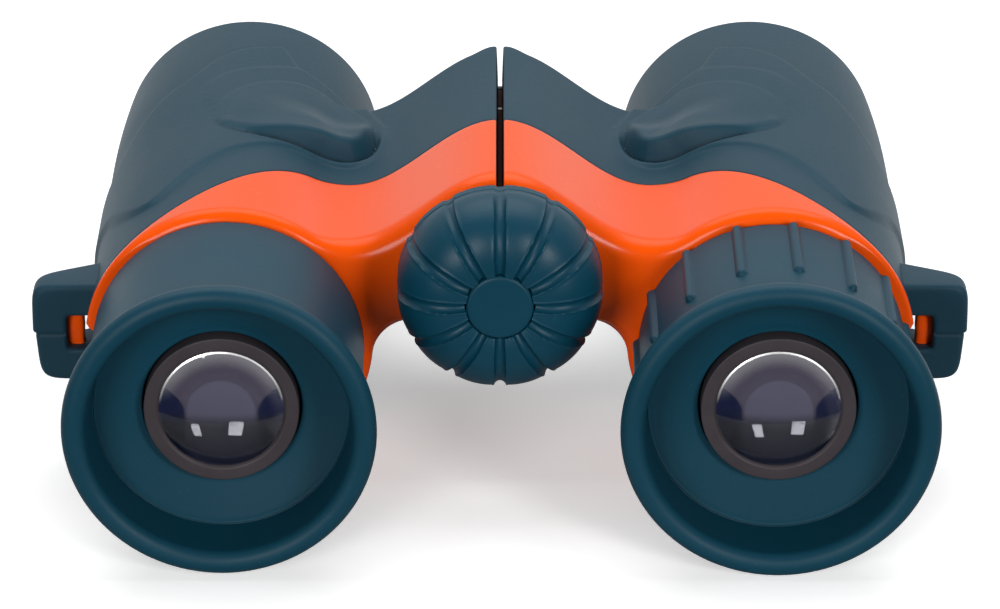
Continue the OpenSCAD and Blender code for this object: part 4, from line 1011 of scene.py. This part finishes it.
def knob_outline():
    """Outline of the knob: dome from the disc's edge to the widest circle, rim, rounded front, hub pocket."""
    a = np.linspace(math.atan2(DOME_DEPTH, DISC_R - DOME_X), 0, 60)
    dome = np.stack([DOME_X + DOME_R * np.cos(a), DOME_Y - DOME_R * np.sin(a)], -1)
    rim_y = np.linspace(DOME_Y, KNOB_FRONT - 0.7, 25)[1:]
    rim = np.stack([KNOB_R - 0.02 - 0.16 * np.exp(-((rim_y - DOME_Y - 0.9) / 0.16) ** 2), rim_y], -1)
    front = bezier((KNOB_R, KNOB_FRONT - 0.6), (KNOB_R, KNOB_FRONT), (KNOB_R - 0.6, KNOB_FRONT), 7)
    hub = np.array([[HUB_MOUTH_R, KNOB_FRONT], [HUB_R, KNOB_FRONT], [HUB_R, DISC_Y + HUB_DEPTH],
                    [DISC_R, DISC_Y + HUB_DEPTH]])
    return np.vstack([dome, rim, front, hub])


def grooves(r, y, a):
    """Grooves from the disc to the rim: a round channel with a fine brim, and crowned segments between.

    The depth is taken along the dome's own direction from its centre circle.
    """
    count, half_wide, deep, brim_rise, crown_fall = 12, 0.66, 0.5, 0.07, 0.16
    step = 2 * math.pi / count
    off = (a + step / 2) % step - step / 2
    around = np.maximum(r, 2.0)
    across = np.abs(off) * around
    half = half_wide - 0.12 * smooth((6.5 - r) / 2.5)
    t = across / half
    channel = deep * np.sqrt(np.clip(1 - t ** 2, 0, 1))
    brim = brim_rise * np.exp(-((across - half - 0.1) / 0.13) ** 2) * (t > 1)
    crown = crown_fall * (1 - np.clip(across / (step / 2 * around), 0, 1)) ** 2
    depth = channel + crown - brim - brim_rise
    outside = smooth((r - 6.4) / 0.3) + (y < DOME_Y - 1) * 1.0
    depth = np.where((y < KNOB_FRONT - 0.05) & (outside > 0.5), depth, 0)
    ease = 1 - 0.55 * smooth((y - DOME_Y + 2.5) / 3.5)
    dx, dy = r - DOME_X, np.minimum(y - DOME_Y, 0)
    long = np.sqrt(dx ** 2 + dy ** 2)
    return r - depth * ease * dx / long, y - depth * ease * dy / long


def disc_outline(hollow, face_y, back_y, flat_r, steps, edge):
    """Outline of a disc from pole to pole: its face, a rounded edge, its back.

    hollow is how far the middle of the face lies along Y from its rim. edge holds the radii where the
    rounding starts, turns and ends, and how far it goes along Y.
    """
    start, corner, end, fall = edge
    face = np.stack([np.linspace(0.3, flat_r, steps), np.linspace(face_y + hollow, face_y, steps)], -1)
    turn = bezier((start, face_y), (corner, face_y), (end, face_y + fall), 7)
    return np.vstack([[[0.0, face_y + hollow]], face, turn, [[end, back_y], [0.0, back_y]]])


Skin().add(turned(knob_outline(), 480, HINGE_AXIS, grooves), wrap_rows=True).make(
    "knob_rubber_grip", "focus_drive", "teal_rubber", KNOB_RUBBER, "knob_grip", sharp=50)
knob_disc = disc_outline(0.06, DISC_Y, DISC_BACK, 3.3, 10, (3.4, 3.88, 3.9, 0.35))
Skin().add(turned(knob_disc, 128, HINGE_AXIS)).make(
    "knob_disc", "focus_drive", "teal_rubber", KNOB_RUBBER, "knob_cap")
HINGE_CAP_Y, HINGE_CAP_T = box_mm("hinge_cap")[1][1], 1.45
hinge_disc = disc_outline(0.0, HINGE_CAP_Y, HINGE_CAP_Y - HINGE_CAP_T, 5.2, 12, (5.4, 6.1, 6.2, -0.6))
Skin().add(turned(hinge_disc, 96, HINGE_AXIS)).make(
    "hinge_disc", "left_half", "teal_armour", ARMOUR, "hinge_cap")

# The other CAD nodes keep their shape and take the finish of their slot; prisms and field lenses take a dark tinted
# glass, painted shade that keeps the inside of the eyepieces dark, and spacers, cells and the cage take the inner
# black
for part in frame["record"]["subparts"]:
    node = frame["nodes"][part["node"]]
    node.data.materials.clear()
    finish = SLOTS[part["material_slot"]]
    if part["node"].endswith(("prism", "field_lens")):
        finish = DARK_SHADED_GLASS
    elif part["node"].endswith(("spacer", "cell", "cage")):
        finish = INNER_BLACK
    node.data.materials.append(finish)


# ---- camera, light, stage ----

scene = bpy.context.scene
CAMERA_PLACE, CAMERA_DOWN = (0.0, -0.5635, 0.2666), math.radians(24.1)
FOCAL_LENGTH, SENSOR = 182.16, 36.0
camera = bpy.data.objects.new("camera", bpy.data.cameras.new("camera"))
scene.collection.objects.link(camera)
camera.location = CAMERA_PLACE
camera.rotation_euler = (math.pi / 2 - CAMERA_DOWN, 0, 0)
camera.data.sensor_width = SENSOR
camera.data.lens = FOCAL_LENGTH
camera.data.clip_start = 0.01
scene.camera = camera


def softbox(name, place, aim, size, watts):
    """A soft white rectangular lamp at a place, aimed at a point."""
    data = bpy.data.lights.new(name, "AREA")
    data.shape = "RECTANGLE"
    data.size, data.size_y = size
    data.energy = watts
    lamp = bpy.data.objects.new(name, data)
    scene.collection.objects.link(lamp)
    lamp.location = place
    way = np.array(aim) - np.array(place)
    flat = math.hypot(way[0], way[1])
    lamp.rotation_euler = (math.atan2(flat, -way[2]), 0, math.atan2(-way[0], way[1]))


softbox("top_box", (0.0, 0.16, 0.62), (0.0, 0.0, 0.02), (0.8, 0.5), 3.1)
softbox("left_box", (-0.237, -0.571, 0.2), (0.0, -0.02, 0.02), (0.2, 0.22), 1.8)
softbox("right_box", (0.298, -0.494, 0.219), (0.0, -0.02, 0.02), (0.13, 0.19), 1.6)


def ray_kinds(sock):
    """Whether a ray comes from the camera, off a glossy surface or through glass."""
    rays = sock.node("LightPath").socket.node.outputs
    return [Sock(sock.tree, rays[f"Is {kind} Ray"]) for kind in ("Camera", "Glossy", "Transmission")]


# White studio: full to the camera, darker on the camera's side in glossy surfaces, dim as a light
REAR_WHITE, WORLD_LIGHT = 0.14, 0.32
world = bpy.data.worlds.new("studio")
scene.world = world
world.use_nodes = True
sky = Sock(world.node_tree)
world.node_tree.nodes.clear()
shown, glossy, through = ray_kinds(sky)
white = shown.most(glossy.most(through))
behind = sky.node("TexCoord", out=0).axis(1).between(-0.5, 0.4, REAR_WHITE, 1.0)
strength = shown.most(white * behind + (1 - white) * behind * WORLD_LIGHT)
sky.node("Background", {}, {"Color": (1, 1, 1, 1), "Strength": strength}).to_output("World")


def floor_material():
    """Pale floor, white to the camera and in glossy surfaces and glass, with the object's shadow left in it.

    In glossy surfaces and glass its white fades towards the eyepieces, as the world's does. To other rays
    it is grey, so that it throws less light back.
    """
    grey, glow, rear_white = (0.35,) * 3, (0.42,) * 3, 0.1
    m = Finish("pale_floor")
    shown, glossy, through = ray_kinds(m)
    fade = m.place.axis(1).between(-0.03, 0.06, rear_white, 1.0)
    shown = shown.most(glossy.most(through) * fade)
    tone = m.noise(3, 2).between(0.2, 0.8).mix((0.95, 0.95, 0.95), (0.97, 0.97, 0.97))
    return m.shade(shown.mix(grey, tone), 0.8, m.noise(300, 2), 0.00005, Specular_IOR_Level=0.1,
                   Emission_Color=shown.mix((0, 0, 0), glow), Emission_Strength=1.0)


FLOOR_STEPS, FLOOR_HALF, FLOOR_REAR, FLOOR_FRONT, FLOOR_DROP = 10, 700, -66, 900, 0.0002
x, y = np.meshgrid(np.linspace(-FLOOR_HALF, FLOOR_HALF, FLOOR_STEPS),
                   np.linspace(FLOOR_REAR, FLOOR_FRONT, FLOOR_STEPS), indexing="ij")
floor_mesh = bpy.data.meshes.new("floor")
floor_points = np.stack([x, y, 0 * x], -1).reshape(-1, 3) * MM
floor_mesh.from_pydata(floor_points.tolist(), [], quads(FLOOR_STEPS, FLOOR_STEPS, False, False)[:, ::-1].tolist())
floor = bpy.data.objects.new("floor", floor_mesh)
scene.collection.objects.link(floor)
floor.data.materials.append(floor_material())
floor.location = (0, 0, -FLOOR_DROP)

scene.view_settings.view_transform = "Standard"
